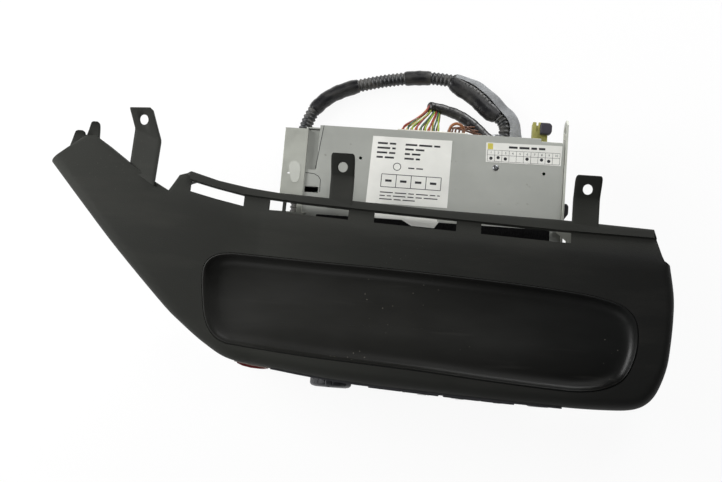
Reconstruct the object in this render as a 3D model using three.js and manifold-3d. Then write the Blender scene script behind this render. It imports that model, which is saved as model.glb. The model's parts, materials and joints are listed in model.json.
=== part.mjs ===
// A car radio taken out of its dashboard: a sheet metal tuner and disc player with its control
// face, the wide moulded fascia with a smoked display lens that is fixed over it, and the loom at
// its back. Millimetres, +Z up, +Y to the rear of the radio. The origin is the middle of the metal
// body's bottom face. Every sub-part is one closed mesh with its own name.
import * as THREE from "three";
import { mergeVertices } from "three/addons/utils/BufferGeometryUtils.js";
import Module from "manifold-3d";

// The running gap between neighbours, and how far a cutter runs past what it cuts
const gap = 0.3;
const overrun = 5;

// Driving dimensions of the metal body
const bodyWidth = 178;
const bodyDepth = 150;
const bodyHeight = 52;
const sheet = 1.2;
const halfWidth = bodyWidth / 2;
const halfDepth = bodyDepth / 2;

// Driving dimensions of the moulded fascia
const rightOverhang = 73;
const wingReach = 164;
const frontOverhang = 28.5;
const wingRise = 26;
const fasciaWall = 2.5;
const lipRise = 14;
const lipHeight = bodyHeight + lipRise;
const lipRadius = 8;
const endRadius = 6;
const faceRise = 12.6;
const faceRiseDepth = 79;
const wingLift = 8.5;
const bandFall = 1.5;
const bandDepth = 17;
const railStep = 2;
const stepRun = 0.6;
const slotDepth = 7;
const hemHeight = 3;
const hemStart = 42;
const hemRun = 50;
const hemDepth = 14;
const bossRadius = 4.6;
const bossBore = 1.7;

// Driving dimensions of the display
const lensRearDepth = 10;
const lensFrontDepth = 5;
const lensWall = 2.5;
const lensRim = 1.2;
const lensDrawShare = 0.128;
const displayWidth = 140;
const displayDepth = 40;
const displayFront = 34;
const feltThickness = 0.8;

// Driving dimensions of the control face
const bezelLeftLap = 9;
const bezelRightLap = 7;
const bezelTopLap = 7;
const bezelBottom = 6;
const bezelLeft = halfWidth + bezelLeftLap;
const bezelRight = halfWidth + bezelRightLap;
const bezelTop = bodyHeight + bezelTopLap;
const bezelProud = 1.2;
const bezelPlate = 3;
const bezelWall = 2;
const bezelInset = 4;
const discSlotWidth = 126;
const discSlotHeight = 5.6;
const discDrop = 9;
const discHeight = bodyHeight - discDrop;
const discThickness = 1.2;
const buttonProud = 1;
const buttonFlange = 1.2;
const buttonTravel = 1.2;
const stemSize = 3;
const switchSize = 6;
const switchDepth = 2;
const boardThickness = 1.6;
const boardSetback = 9;
const volumeDiameter = 29;
const volumeMargin = 29;
const volumeOffset = halfWidth - volumeMargin;
const volumeProud = 4.8;
const tuneDiameter = 17;
const tuneMargin = 5;
const tuneOffset = halfWidth - tuneMargin;
const tuneProud = 0.8;
const dialHeight = 23.2;
const dialSink = 3.5;
const dialClearance = 0.6;
const shaftDiameter = 6;
const encoderSize = 10.8;
const encoderDepth = 7;
const encoderNose = 0.9;
const presetBottom = 12;
const presetHeight = 8.2;
const functionBottom = 24;
const functionHeight = 9.4;
const keysLeftMargin = 27;
const keysRightMargin = 17;
const keysLeft = volumeOffset - keysLeftMargin;
const keysRight = tuneOffset - keysRightMargin;
const keyGap = 3;
const wellWall = 1.2;
const wellFloor = 1.4;

// Driving dimensions of the hazard warning button
const hazardOffset = 13;
const hazardWidth = 20;
const hazardHeight = 12;
const hazardRight = halfWidth + hazardOffset;
const hazardLeft = hazardRight + hazardWidth;
const hazardBottom = bodyHeight - hazardHeight;
const hazardProud = 1.8;
const hazardRim = 1.6;
const hazardRimProud = 0.9;
const hazardTravel = 2.5;
const hazardDepth = 22;

// Driving dimensions of the disc player
const playerSideMargin = 22;
const playerFrontMargin = 4;
const playerRearMargin = 19.6;
const playerDrop = 24;
const playerHalfWidth = halfWidth - playerSideMargin;
const playerFront = halfDepth - playerFrontMargin;
const playerRear = halfDepth - playerRearMargin;
const plateHeight = bodyHeight - playerDrop;
const plateSheet = 1.2;
const spindleBack = 11;
const railRise = 3.8;
const sledTravel = 33;
const sledLength = 14;
const sledStart = 16;
const guideRise = 6;
const guideHeight = plateHeight + guideRise;
const guideOffset = 21;
const guideRadius = 1.5;
const rollerRadius = 3.6;
const rollerShaftRadius = 1.4;
const rollerSetback = 10;
const damperRadius = 4.4;
const damperRise = 4;
const damperShelf = plateHeight + damperRise;
const armThickness = 1.1;
const armPivotMargin = 5.4;
const armPivotBack = playerRear - armPivotMargin;
const armPivotDrop = 2.4;
const armPinRadius = 1.2;
const clampRadius = 14;

// Driving dimensions of the boards, the sockets and what stands on them
const mainBoardHeight = 6;
const postRadius = 3;
const socketLeft = 28;
const socketRight = 24;
const socketBottom = 12;
const socketTop = 30;
const socketProud = 2.2;
const socketWall = 1.6;
const plugDepth = 5.6;
const sinkMargin = 7;
const sinkDrop = 6;
const sinkRight = 38;
const sinkBottom = 9;
const sinkLeft = halfWidth - sinkMargin;
const sinkTop = bodyHeight - sinkDrop;
const finDepth = 11;
const finWall = 2;
const aerialMargin = 45;
const aerialDrop = 18;
const aerialOffset = halfWidth - aerialMargin;
const aerialHeight = bodyHeight - aerialDrop;
const aerialRadius = 6;
const auxMargin = 10;
const auxWidth = 10.6;
const auxRight = halfWidth - auxMargin;
const auxLeft = auxRight - auxWidth;
const auxBottom = 20;
const auxTop = 30;
const auxReach = 19;

// Driving dimensions of the brackets and screws
const bracketSheet = 1.5;
const flangeReach = 14.2;
const flangeMargin = 2;
const flangeRear = halfDepth - flangeMargin;
const flangeDepth = 47;
const footRear = 14;
const footDepth = 17;
const footReach = 19;
const footReachLeft = 25;
const earReach = 16;
const earHeight = 17;
const screwHoleRadius = 2.6;
const screwHeadRadius = 3.3;
const screwShankRadius = 1.3;
const screwLength = 10;

// Driving dimensions of the loom
const conduitRadius = 4.8;
const conduitGroove = 0.75;
const conduitBore = 3.1;
const tapeBuild = 0.6;
const ribPitch = 3;
const bundleThin = 3.4;
const bundleThick = 4.8;
const wireRadius = 0.75;
const wireCount = 10;

const wasm = await Module();
wasm.setup();

const part = new THREE.Group();

// Colours of the finishes, each with its roughness and metalness
const finishes = {
  moulding: [0x33332f, 0.75, 0],
  lens: [0x2c2c2d, 0.35, 0],
  bezel: [0x26262a, 0.6, 0],
  key: [0x2f3034, 0.5, 0],
  hazard: [0xa2201a, 0.45, 0],
  rim: [0xc9c4bc, 0.5, 0],
  zinc: [0xa3a59c, 0.45, 0.9],
  bracket: [0xb4b7ae, 0.45, 0.9],
  steel: [0x8f9294, 0.35, 1],
  aluminium: [0xb9bcbe, 0.4, 1],
  board: [0x1f5a37, 0.6, 0],
  black: [0x18181a, 0.6, 0],
  rubber: [0x202022, 0.9, 0],
  white: [0xd8d6cb, 0.6, 0],
  olive: [0x8d8a4b, 0.55, 0],
  plum: [0x2b2433, 0.5, 0],
  felt: [0x101012, 1, 0],
  foam: [0x8c9096, 0.9, 0],
  loom: [0x2a2d30, 0.6, 0],
  tape: [0x1c1d1f, 0.5, 0],
  wire: [0xb58a3c, 0.5, 0],
};

function solidOf(geometry) {
  const bare = geometry.clone();
  bare.deleteAttribute("normal");
  bare.deleteAttribute("uv");
  const merged = mergeVertices(bare, 1e-4);
  const index = merged.index.array;
  const kept = [];
  for (let i = 0; i < index.length; i += 3) {
    const [a, b, c] = [index[i], index[i + 1], index[i + 2]];
    if (a !== b && b !== c && c !== a) kept.push(a, b, c);
  }
  const make = (triVerts) =>
    new wasm.Manifold(
      new wasm.Mesh({
        numProp: 3,
        vertProperties: new Float32Array(merged.attributes.position.array),
        triVerts: new Uint32Array(triVerts),
      }),
    );
  const made = make(kept);
  if (made.volume() > 0) return made;
  const turned = [];
  for (let i = 0; i < kept.length; i += 3) turned.push(kept[i], kept[i + 2], kept[i + 1]);
  return make(turned);
}

function geometryOf(solid) {
  const mesh = solid.getMesh();
  const geometry = new THREE.BufferGeometry();
  geometry.setAttribute("position", new THREE.BufferAttribute(mesh.vertProperties, 3));
  geometry.setIndex(new THREE.BufferAttribute(mesh.triVerts, 1));
  geometry.computeVertexNormals();
  return geometry;
}

function add(name, solid, finish) {
  const [color, roughness, metalness] = finishes[finish];
  const material = new THREE.MeshStandardMaterial({ color, roughness, metalness });
  const mesh = new THREE.Mesh(geometryOf(solid), material);
  mesh.name = name;
  part.add(mesh);
}

function joined(solids) {
  return solids.reduce((whole, piece) => whole.add(piece));
}

function cut(solid, cutters) {
  return cutters.reduce((whole, cutter) => whole.subtract(cutter), solid);
}

const grown = ([low, high], by) => [low - by, high + by];
const about = (middle, size) => [middle - size / 2, middle + size / 2];
const middleOf = ([low, high]) => (low + high) / 2;
const mirrored = ([low, high], side) => (side < 0 ? [-high, -low] : [low, high]);

// Rows of shares, scaled by one size along each row
function scaled(shares, ...sizes) {
  return shares.map((row) => row.map((share, i) => share * sizes[i]));
}

// A block between two corners, each range given as [low, high]
function block([x0, x1], [y0, y1], [z0, z1]) {
  const geometry = new THREE.BoxGeometry(x1 - x0, y1 - y0, z1 - z0);
  geometry.translate((x0 + x1) / 2, (y0 + y1) / 2, (z0 + z1) / 2);
  return solidOf(geometry);
}

// A plan outline, as [x, y] points, raised from z0 to z1
function prism(points, z0, z1) {
  const shape = new THREE.Shape(points.map(([x, y]) => new THREE.Vector2(x, y)));
  const geometry = new THREE.ExtrudeGeometry(shape, { depth: z1 - z0, bevelEnabled: false });
  geometry.translate(0, 0, z0);
  return solidOf(geometry);
}

// A side outline, as [y, z] points, stretched from x0 to x1
function sidePrism(points, x0, x1) {
  const shape = new THREE.Shape(points.map(([y, z]) => new THREE.Vector2(y, z)));
  const geometry = new THREE.ExtrudeGeometry(shape, { depth: x1 - x0, bevelEnabled: false });
  geometry.applyMatrix4(
    new THREE.Matrix4().makeBasis(
      new THREE.Vector3(0, 1, 0),
      new THREE.Vector3(0, 0, 1),
      new THREE.Vector3(1, 0, 0),
    ),
  );
  geometry.translate(x0, 0, 0);
  return solidOf(geometry);
}

const alongX = [1, 0, 0];
const alongY = [0, 1, 0];
const alongZ = [0, 0, 1];

// A solid turned about an axis through a point: the profile gives [radius, distance along]
function turned(profile, [x, y, z], axis, segments) {
  const points = profile.map(([r, along]) => new THREE.Vector2(r, along));
  const geometry = new THREE.LatheGeometry(points, segments);
  const turn = new THREE.Quaternion().setFromUnitVectors(
    new THREE.Vector3(0, 1, 0),
    new THREE.Vector3(...axis),
  );
  geometry.applyQuaternion(turn);
  geometry.translate(x, y, z);
  return solidOf(geometry);
}

function rod(radius, from, length, axis, segments = 16) {
  return turned([[0, 0], [radius, 0], [radius, length], [0, length]], from, axis, segments);
}

// A hole of a radius through a plate, drilled along an axis from both sides of a middle point
function drill(radius, [x, y, z], reach, [ax, ay, az], segments = 12) {
  const from = [x - ax * reach, y - ay * reach, z - az * reach];
  return rod(radius, from, 2 * reach, [ax, ay, az], segments);
}

// The cap that closes one end of a loft, as triangles of the ring's own points
function capOf(ring) {
  const count = ring.length;
  const centre = new THREE.Vector3();
  const normal = new THREE.Vector3();
  const points = ring.map((p) => new THREE.Vector3(...p));
  points.forEach((p, i) => {
    centre.addScaledVector(p, 1 / count);
    normal.add(new THREE.Vector3().crossVectors(p, points[(i + 1) % count]));
  });
  normal.normalize();
  const side = Math.abs(normal.x) < 0.7 ? new THREE.Vector3(1, 0, 0) : new THREE.Vector3(0, 1, 0);
  const across = new THREE.Vector3().crossVectors(normal, side).normalize();
  const up = new THREE.Vector3().crossVectors(normal, across);
  const flat = points.map((p) => {
    const away = p.clone().sub(centre);
    return new THREE.Vector2(away.dot(across), away.dot(up));
  });
  const ringTurn = THREE.ShapeUtils.area(flat) > 0;
  return THREE.ShapeUtils.triangulateShape(flat, []).map(([a, b, c]) => {
    const faceTurn = THREE.ShapeUtils.area([flat[a], flat[b], flat[c]]) > 0;
    return faceTurn === ringTurn ? [a, b, c] : [a, c, b];
  });
}

// A closed solid through rings of points that all have the same count
function loft(rings) {
  const count = rings[0].length;
  const index = [];
  for (let r = 0; r + 1 < rings.length; r++) {
    for (let i = 0; i < count; i++) {
      const a = r * count + i;
      const b = r * count + ((i + 1) % count);
      index.push(a, b, b + count, a, b + count, a + count);
    }
  }
  const last = (rings.length - 1) * count;
  for (const [a, b, c] of capOf(rings[0])) index.push(a, c, b);
  for (const face of capOf(rings.at(-1))) index.push(...face.map((i) => i + last));
  const geometry = new THREE.BufferGeometry();
  geometry.setAttribute("position", new THREE.Float32BufferAttribute(rings.flat().flat(), 3));
  geometry.setIndex(index);
  return solidOf(geometry);
}

// Joins an outer and an inner row of rings into one open-ended tube wall
function tubeWall(outer, bore) {
  const rings = [...outer, ...bore.reverse()];
  const count = rings[0].length;
  const index = [];
  rings.forEach((_, r) => {
    const next = (r + 1) % rings.length;
    for (let i = 0; i < count; i++) {
      const a = r * count + i;
      const b = r * count + ((i + 1) % count);
      const c = next * count + ((i + 1) % count);
      const d = next * count + i;
      index.push(a, b, c, a, c, d);
    }
  });
  const geometry = new THREE.BufferGeometry();
  geometry.setAttribute("position", new THREE.Float32BufferAttribute(rings.flat().flat(), 3));
  geometry.setIndex(index);
  return solidOf(geometry);
}

// A round section drawn along a curve
function tube(curve, radius, steps, sides) {
  const section = new THREE.Shape();
  for (let i = 0; i < sides; i++) {
    const turn = (2 * Math.PI * i) / sides;
    const place = [radius * Math.cos(turn), radius * Math.sin(turn)];
    if (i) section.lineTo(...place);
    else section.moveTo(...place);
  }
  section.closePath();
  return solidOf(new THREE.ExtrudeGeometry(section, { steps, extrudePath: curve }));
}

// A ring of points round a level curve, with its half sizes across and upwards
function ringOn(curve, share, [wide, tall], sides) {
  const centre = curve.getPointAt(Math.min(Math.max(share, 0), 1));
  const forward = curve.getTangentAt(Math.min(Math.max(share, 0), 1));
  const across = new THREE.Vector3().crossVectors(new THREE.Vector3(0, 0, 1), forward).normalize();
  const up = new THREE.Vector3().crossVectors(forward, across);
  return Array.from({ length: sides }, (_, i) => {
    const turn = (2 * Math.PI * (i + 1 / 2)) / sides;
    return centre
      .clone()
      .addScaledVector(across, wide * Math.cos(turn))
      .addScaledVector(up, tall * Math.sin(turn))
      .toArray();
  });
}

function curveThrough(points) {
  return new THREE.CatmullRomCurve3(
    points.map((p) => new THREE.Vector3(...p)),
    false,
    "centripetal",
  );
}

// Straight-line interpolation in a table of [x, value] rows
function along(table, x) {
  if (x <= table[0][0]) return table[0][1];
  for (let i = 1; i < table.length; i++) {
    const [x0, y0] = table[i - 1];
    const [x1, y1] = table[i];
    if (x <= x1) return y0 + ((y1 - y0) * (x - x0)) / (x1 - x0);
  }
  return table.at(-1)[1];
}

// Moves each side of an outline that runs anticlockwise inwards by a distance
function inset(points, distance) {
  const count = points.length;
  return points.map((p, i) => {
    const before = points[(i + count - 1) % count];
    const after = points[(i + 1) % count];
    const a = new THREE.Vector2(p[0] - before[0], p[1] - before[1]).normalize();
    const b = new THREE.Vector2(after[0] - p[0], after[1] - p[1]).normalize();
    const na = new THREE.Vector2(-a.y, a.x);
    const nb = new THREE.Vector2(-b.y, b.x);
    const middle = na.clone().add(nb).normalize();
    const reach = distance / Math.max(middle.dot(na), 0.5);
    return [p[0] + middle.x * reach, p[1] + middle.y * reach];
  });
}

// A smooth row of points through a table, without those that lie on the line past them
function smoothRow(table, steps, flatness) {
  const curve = new THREE.SplineCurve(table.map(([u, v]) => new THREE.Vector2(u, v)));
  const points = curve.getPoints(steps);
  const kept = [points[0]];
  for (let i = 1; i + 1 < points.length; i++) {
    const line = points[i + 1].clone().sub(kept.at(-1));
    const off = Math.abs(line.cross(points[i].clone().sub(kept.at(-1)))) / line.length();
    if (off > flatness) kept.push(points[i]);
  }
  return [...kept, points.at(-1)].map((p) => [p.x, p.y]);
}

// The plan of the fascia: shares of its width from the wing's tip, and of its depth from the lip
const fasciaLeft = -halfWidth - wingReach;
const fasciaRight = halfWidth + rightOverhang;
const fasciaFront = -halfDepth - frontOverhang;
const fasciaRear = halfDepth - wingRise;
const fasciaWidth = fasciaRight - fasciaLeft;
const fasciaDepth = fasciaRear - fasciaFront;
const onFascia = ([u, v]) => [fasciaLeft + u * fasciaWidth, fasciaFront + v * fasciaDepth];

const lowerCurveShares = [
  [0.001, 0.878], [0.056, 0.705], [0.112, 0.533], [0.191, 0.311], [0.223, 0.234], [0.266, 0.147],
  [0.308, 0.089], [0.373, 0.068], [0.441, 0.046], [0.508, 0.031], [0.586, 0.021], [0.692, 0.011],
  [0.8, 0.004], [0.863, 0.001], [0.916, 0.005], [0.945, 0.013], [0.964, 0.032], [0.978, 0.067],
  [0.988, 0.122], [0.996, 0.204], [0.999, 0.294], [1, 0.404], [0.998, 0.504], [0.989, 0.625],
];
const rightEndShares = [[0.977, 0.644], [0.965, 0.732], [0.96, 0.773]];
const railRearShares = [[0.816, 0.787], [0.629, 0.793], [0.371, 0.818], [0.323, 0.831], [0.274, 0.851]];
const wingUpperShares = [
  [0.229, 0.882], [0.21, 0.863], [0.196, 0.79], [0.173, 0.823], [0.13, 0.895], [0.075, 0.998],
  [0.058, 1], [0.036, 0.952],
];
const creaseShares = [
  [-0.017, 1.199], [0.181, 1], [0.195, 0.791], [0.217, 0.777], [0.316, 0.7], [0.409, 0.702],
  [0.518, 0.674], [0.648, 0.654], [0.767, 0.645], [1.015, 0.624],
];
const stepShares = [
  [-0.017, 1.298], [0.201, 1.099], [0.229, 0.843], [0.27, 0.819], [0.316, 0.797], [0.421, 0.777],
  [0.504, 0.768], [0.818, 0.739], [1.015, 0.731],
];
const lowerSteps = 69;
const lowerFlatnessShare = 0.0009;
const wingStartShare = 0.13;

const outline = [
  ...smoothRow(lowerCurveShares, lowerSteps, lowerFlatnessShare),
  ...rightEndShares,
  ...railRearShares,
  ...wingUpperShares,
].map(onFascia);
const creaseLine = creaseShares.map(onFascia);
const stepLine = stepShares.map(onFascia);
const stepAt = (x) => along(stepLine, x);
const wingStart = -halfWidth - wingReach * wingStartShare;

// The lowest and highest y of an outline at one x
function spanAt(points, x) {
  const hits = [];
  points.forEach(([xa, ya], i) => {
    const [xb, yb] = points[(i + 1) % points.length];
    if (xa === xb || (x - xa) * (x - xb) > 0) return;
    hits.push(ya + ((yb - ya) * (x - xa)) / (xb - xa));
  });
  return [Math.min(...hits), Math.max(...hits)];
}

const frontAt = (x) => spanAt(outline, x)[0];
const turnedAbout = (points) => points.map(([x, y]) => [y, x]);

// The height of the fascia's surface before its edges are rounded
function faceHeight(x, y) {
  const slope = faceRise / faceRiseDepth;
  const lift = (wingLift * Math.max(0, wingStart - x)) / (wingStart - fasciaLeft);
  const crease = along(creaseLine, x);
  const main = lipHeight + slope * (Math.min(y, crease) - fasciaFront - lipRadius);
  const band = (bandFall / bandDepth) * Math.max(0, y - crease);
  const raised = y > stepAt(x) + stepRun / 2 ? railStep : 0;
  return main + lift - band + raised;
}

// The places along X where the fascia's section changes
function stationsOf(edge) {
  const xs = edge.map(([x]) => x);
  const first = Math.min(...xs);
  const last = Math.max(...xs);
  const least = (last - first) / 1000;
  const marks = [...xs, ...creaseLine.map(([x]) => x), ...stepLine.map(([x]) => x), wingStart];
  const held = marks
    .map((x) => Math.min(Math.max(x, first + least / 10), last - least / 10))
    .sort((a, b) => a - b);
  const kept = held.filter((x, i) => !i || x - held[i - 1] > least);
  return [...kept.slice(0, -1), last - least / 10];
}

const arcSteps = 3;

// One section of the space under the fascia's surface, from the lip to the rail
function sectionAt(x, edge, wall, bottom) {
  const [low, high] = spanAt(edge, x);
  const radius = Math.max(lipRadius - wall, stepRun);
  const turn = Math.min(radius, (high - low) / 3);
  const ring = [[x, low, bottom]];
  for (let i = 0; i <= arcSteps; i++) {
    const angle = (Math.PI / 2) * (i / arcSteps);
    const y = low + turn * (1 - Math.cos(angle));
    ring.push([x, y, faceHeight(x, y) - wall - turn * (1 - Math.sin(angle))]);
  }
  for (const y of [along(creaseLine, x), stepAt(x), stepAt(x) + stepRun]) {
    const held = Math.min(Math.max(y, low + turn), high);
    ring.push([x, held, faceHeight(x, held) - wall]);
  }
  ring.push([x, high, faceHeight(x, high) - wall], [x, high, bottom]);
  return ring;
}

// Everything left of the fascia's right end, whose upper edge rolls over
function insideEnd(edge, wall, bottom) {
  const rollShares = [0.014, 0.035, 0.07, 0.122, 0.204, 0.294, 0.404, 0.504, 0.61];
  const radius = endRadius - wall;
  const turnedEdge = turnedAbout(edge);
  const top = lipHeight + 2 * faceRise + wingLift + overrun;
  const sectionFor = (y, right, height) => {
    const ring = [[fasciaLeft - overrun, y, bottom], [right, y, bottom]];
    for (let i = 0; i <= arcSteps; i++) {
      const angle = (Math.PI / 2) * (i / arcSteps);
      ring.push([right - radius * (1 - Math.cos(angle)), y, height - radius * (1 - Math.sin(angle))]);
    }
    ring.push([right - radius, y, top], [fasciaLeft - overrun, y, top]);
    return ring;
  };
  const lowest = Math.min(...edge.map(([, y]) => y)) + stepRun;
  const places = rollShares.map((share) => fasciaFront + share * fasciaDepth);
  const rows = places
    .filter((y) => y > lowest)
    .map((y) => {
      const right = spanAt(turnedEdge, y)[1];
      return sectionFor(y, right, faceHeight(right - radius, y) - wall);
    });
  const far = fasciaRight + 2 * overrun;
  const open = (y) => sectionFor(y, far, lipHeight + faceRise);
  const first = rows[0][0][1];
  const last = rows.at(-1)[0][1];
  const ends = [open(fasciaFront - overrun), open(first - stepRun)];
  return loft([...ends, ...rows, open(last + stepRun), open(fasciaRear + overrun)]);
}

// The solid under the fascia's surface, drawn in by a wall thickness on every side
function underFascia(wall, bottom) {
  const edge = wall ? inset(outline, wall) : outline;
  const whole = loft(stationsOf(edge).map((x) => sectionAt(x, edge, wall, bottom)));
  return whole.intersect(insideEnd(edge, wall, bottom - overrun));
}

// The display's opening: a long rounded outline in shares of the fascia
const lensShares = [
  [0.258, 0.404], [0.2645, 0.275], [0.2765, 0.2], [0.2955, 0.1605], [0.325, 0.1475], [0.439, 0.124],
  [0.614, 0.102], [0.717, 0.084], [0.8265, 0.07], [0.871, 0.072], [0.906, 0.094], [0.931, 0.1405],
  [0.9445, 0.225], [0.9475, 0.3145], [0.9405, 0.394], [0.9205, 0.4435], [0.886, 0.4715],
  [0.8465, 0.4865], [0.767, 0.503], [0.6575, 0.518], [0.5485, 0.529], [0.439, 0.536],
  [0.34, 0.544], [0.2985, 0.544], [0.2735, 0.525], [0.2595, 0.478], [0.258, 0.404],
];
const lensSteps = 78;
const lensFlatnessShare = 0.0011;
const lensOutline = smoothRow(lensShares, lensSteps, lensFlatnessShare).slice(0, -1).map(onFascia);
const lensFront = Math.min(...lensOutline.map(([, y]) => y));
const lensRear = Math.max(...lensOutline.map(([, y]) => y));

function lensDepthAt(y) {
  const share = (y - lensFront) / (lensRear - lensFront);
  return lensFrontDepth + (lensRearDepth - lensFrontDepth) * share;
}

// The dish of the lens as rings that sink and draw in together
function lensDish(sink, spread) {
  const dishShares = [[0, 0], [0.08, 0.35], [0.28, 0.72], [0.6, 0.94], [1, 1]];
  const rim = inset(lensOutline, lensRim + spread);
  const rings = [rim.map(([x, y]) => [x, y, faceHeight(x, y) + overrun + sink])];
  for (const [drawn, sunk] of dishShares) {
    const draw = drawn * lensDrawShare * (lensRear - lensFront);
    const ring = inset(lensOutline, lensRim + spread + draw);
    rings.push(ring.map(([x, y]) => [x, y, faceHeight(x, y) - sunk * lensDepthAt(y) + sink]));
  }
  return loft(rings);
}

// A strap through rows of left and right edge points, with its thickness measured downwards
function strap(rows, thickness) {
  const lowered = ([x, y, z]) => [x, y, z - thickness];
  return loft(rows.map(([left, right]) => [left, right, lowered(right), lowered(left)]));
}

// The fixing tabs behind the rail and on the wing
const tabThickness = 2.6;
const tabNeck = 15;
const tabPad = 14;
const tabRise = 9;
const tabHole = 3.2;
const tabHoleBack = 8;
const middleTabShare = 0.4705;
const middleTabWidth = 15.5;
const rightTabShare = 0.8545;
const rightTabWidth = 17;

function backTab(share, width) {
  const [x] = onFascia([share, 0]);
  const rear = spanAt(outline, x)[1];
  const root = rear - railStep;
  const height = faceHeight(x, root);
  const row = (y, z, half) => [[x - half, y, z], [x + half, y, z]];
  const top = rear + tabNeck + tabPad;
  const plate = strap(
    [
      row(root, height, width / 2),
      row(rear + tabNeck, height, width / 2),
      row(top - tabThickness, height + tabRise * (1 - tabThickness / tabPad), width / 2),
      row(top, height + tabRise, width / 2 - tabThickness / 2),
    ],
    tabThickness,
  );
  const hole = [x, top - tabHoleBack, height];
  return [plate, drill(tabHole, hole, tabRise + overrun, alongZ)];
}

// The tall tab that stands on the wing's upper edge: left and right edges and share of its rise
const wingTabShares = [
  [[0.1305, 0.871], [0.173, 0.801], 0],
  [[0.1305, 0.896], [0.173, 0.826], 0],
  [[0.1335, 1.046], [0.177, 1], 0.12],
  [[0.1305, 1.089], [0.1735, 1.07], 0.6],
  [[0.1285, 1.124], [0.162, 1.129], 1],
];
const wingTabHoleShares = [0.15, 1.082];

function wingTab() {
  const base = faceHeight(...onFascia(wingTabShares[0][0])) - railStep / 2;
  const rise = tabRise + railStep;
  const rows = wingTabShares.map(([left, right, up]) => [
    [...onFascia(left), base + rise * up],
    [...onFascia(right), base + rise * up],
  ]);
  const [x, y] = onFascia(wingTabHoleShares);
  return [strap(rows, tabThickness), drill(tabHole, [x, y, base], rise + overrun, alongZ)];
}

// The two hooks at the wing's end, which catch the neighbouring panel
const hookShares = [[0.041, 0.93, 0.0135], [0.066, 0.985, 0.0115]];
const hookReach = 9;
const hookHeight = 6;

function endHook([u, v, halfShare]) {
  const hookBendShares = [[-0.3, -0.2], [0.3, 0], [0.75, 0.35], [1, 1]];
  const [x, y] = onFascia([u, v]);
  const half = halfShare * fasciaWidth;
  const height = faceHeight(x, y) - railStep;
  const rows = hookBendShares.map(([back, up]) => [
    [x - half + back * half, y + back * hookReach, height + up * hookHeight],
    [x + half, y + back * hookReach, height + up * hookHeight],
  ]);
  return strap(rows, tabThickness);
}

// The slots cut in front of the rail, as shares of the fascia's width
const slotShares = [
  [0.229, 0.316], [0.357, 0.3785], [0.3835, 0.4845], [0.5255, 0.6555], [0.6945, 0.8345],
];

function slotCutter([from, to]) {
  const steps = 5;
  const x = (i) => onFascia([from + ((to - from) * i) / steps, 0])[0];
  const rear = Array.from({ length: steps + 1 }, (_, i) => [x(i), stepAt(x(i)) - stepRun / 2]);
  const front = rear.map(([px, py]) => [px, py - slotDepth]);
  const top = lipHeight + 2 * faceRise + wingLift + overrun;
  return prism([...front, ...rear.reverse()], lipHeight, top);
}

// The screw bosses that stand on the bracket feet
const footHeight = bodyHeight + gap;
const bossBackShare = 0.6;
const bossInShare = 1.5;
const bossY = footRear - footDepth * bossBackShare;
const bossPlaces = [
  [-halfWidth - footReachLeft + bossRadius * bossInShare, bossY],
  [halfWidth + footReach - bossRadius * bossInShare, bossY],
];
const bossBottom = footHeight + bracketSheet + gap;

const facetPitch = 20;

// Points that follow the lip between two places, moved out by a distance
function lipRow([x0, x1], outer) {
  const steps = Math.max(2, Math.ceil((x1 - x0) / facetPitch));
  const x = (i) => x0 + ((x1 - x0) * i) / steps;
  return Array.from({ length: steps + 1 }, (_, i) => [x(i), frontAt(x(i)) + outer]);
}

// A plan band that follows the lip's curve, from one outset to another
function frontBand(xs, [z0, z1], outer, inner) {
  return prism([...lipRow(xs, outer), ...lipRow(xs, inner).reverse()], z0, z1);
}

// As above, but with a straight back at one y
function frontBlock(xs, [z0, z1], outer, back) {
  return prism([...lipRow(xs, outer), [xs[1], back], [xs[0], back]], z0, z1);
}

// What is cut away below the hem, which rises from the lip to the rail
function belowHem() {
  const hemFront = fasciaFront + hemStart;
  const hemRear = hemFront + hemRun;
  const low = lipHeight + faceRise - hemDepth;
  const far = -3 * overrun;
  return sidePrism(
    [
      [fasciaFront - overrun, hemHeight],
      [hemFront, hemHeight],
      [hemRear, low - faceRise / 2],
      [fasciaRear + overrun, low],
      [fasciaRear + overrun, far],
      [fasciaFront - overrun, far],
    ],
    fasciaLeft - overrun,
    fasciaRight + overrun,
  );
}

function makeFascia() {
  const shell = underFascia(0, -overrun).subtract(underFascia(fasciaWall, -2 * overrun));
  const bosses = bossPlaces.map(([x, y]) => {
    const top = faceHeight(x, y) - fasciaWall / 2;
    return rod(bossRadius, [x, y, bossBottom], top - bossBottom, alongZ);
  });
  const lensWindow = prism(lensOutline, lipHeight - 2 * lipRadius, lipHeight + 2 * faceRise + overrun);
  const faceWindow = block(
    [-bezelLeft, bezelRight],
    [fasciaFront - overrun, fasciaFront + frontOverhang / 2 + lipRadius],
    [bezelBottom, bezelTop],
  );
  const hazardWindow = block(
    grown([-hazardLeft, -hazardRight], hazardRim + gap),
    [fasciaFront - overrun, fasciaFront + frontOverhang],
    grown([hazardBottom, hazardBottom + hazardHeight], hazardRim + gap),
  );
  const [middlePlate, middleHole] = backTab(middleTabShare, middleTabWidth);
  const [rightPlate, rightHole] = backTab(rightTabShare, rightTabWidth);
  const [tallPlate, tallHole] = wingTab();
  const open = cut(shell, [belowHem(), lensWindow, faceWindow, hazardWindow]);
  const hooks = hookShares.map(endHook);
  const whole = joined([open, ...bosses, middlePlate, rightPlate, tallPlate, ...hooks]);
  const bores = bossPlaces.map(([x, y]) => drill(bossBore, [x, y, bossBottom], lipRadius, alongZ));
  const slots = slotShares.map(slotCutter);
  add("fascia_moulding", cut(whole, [middleHole, rightHole, tallHole, ...slots, ...bores]), "moulding");
}

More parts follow.
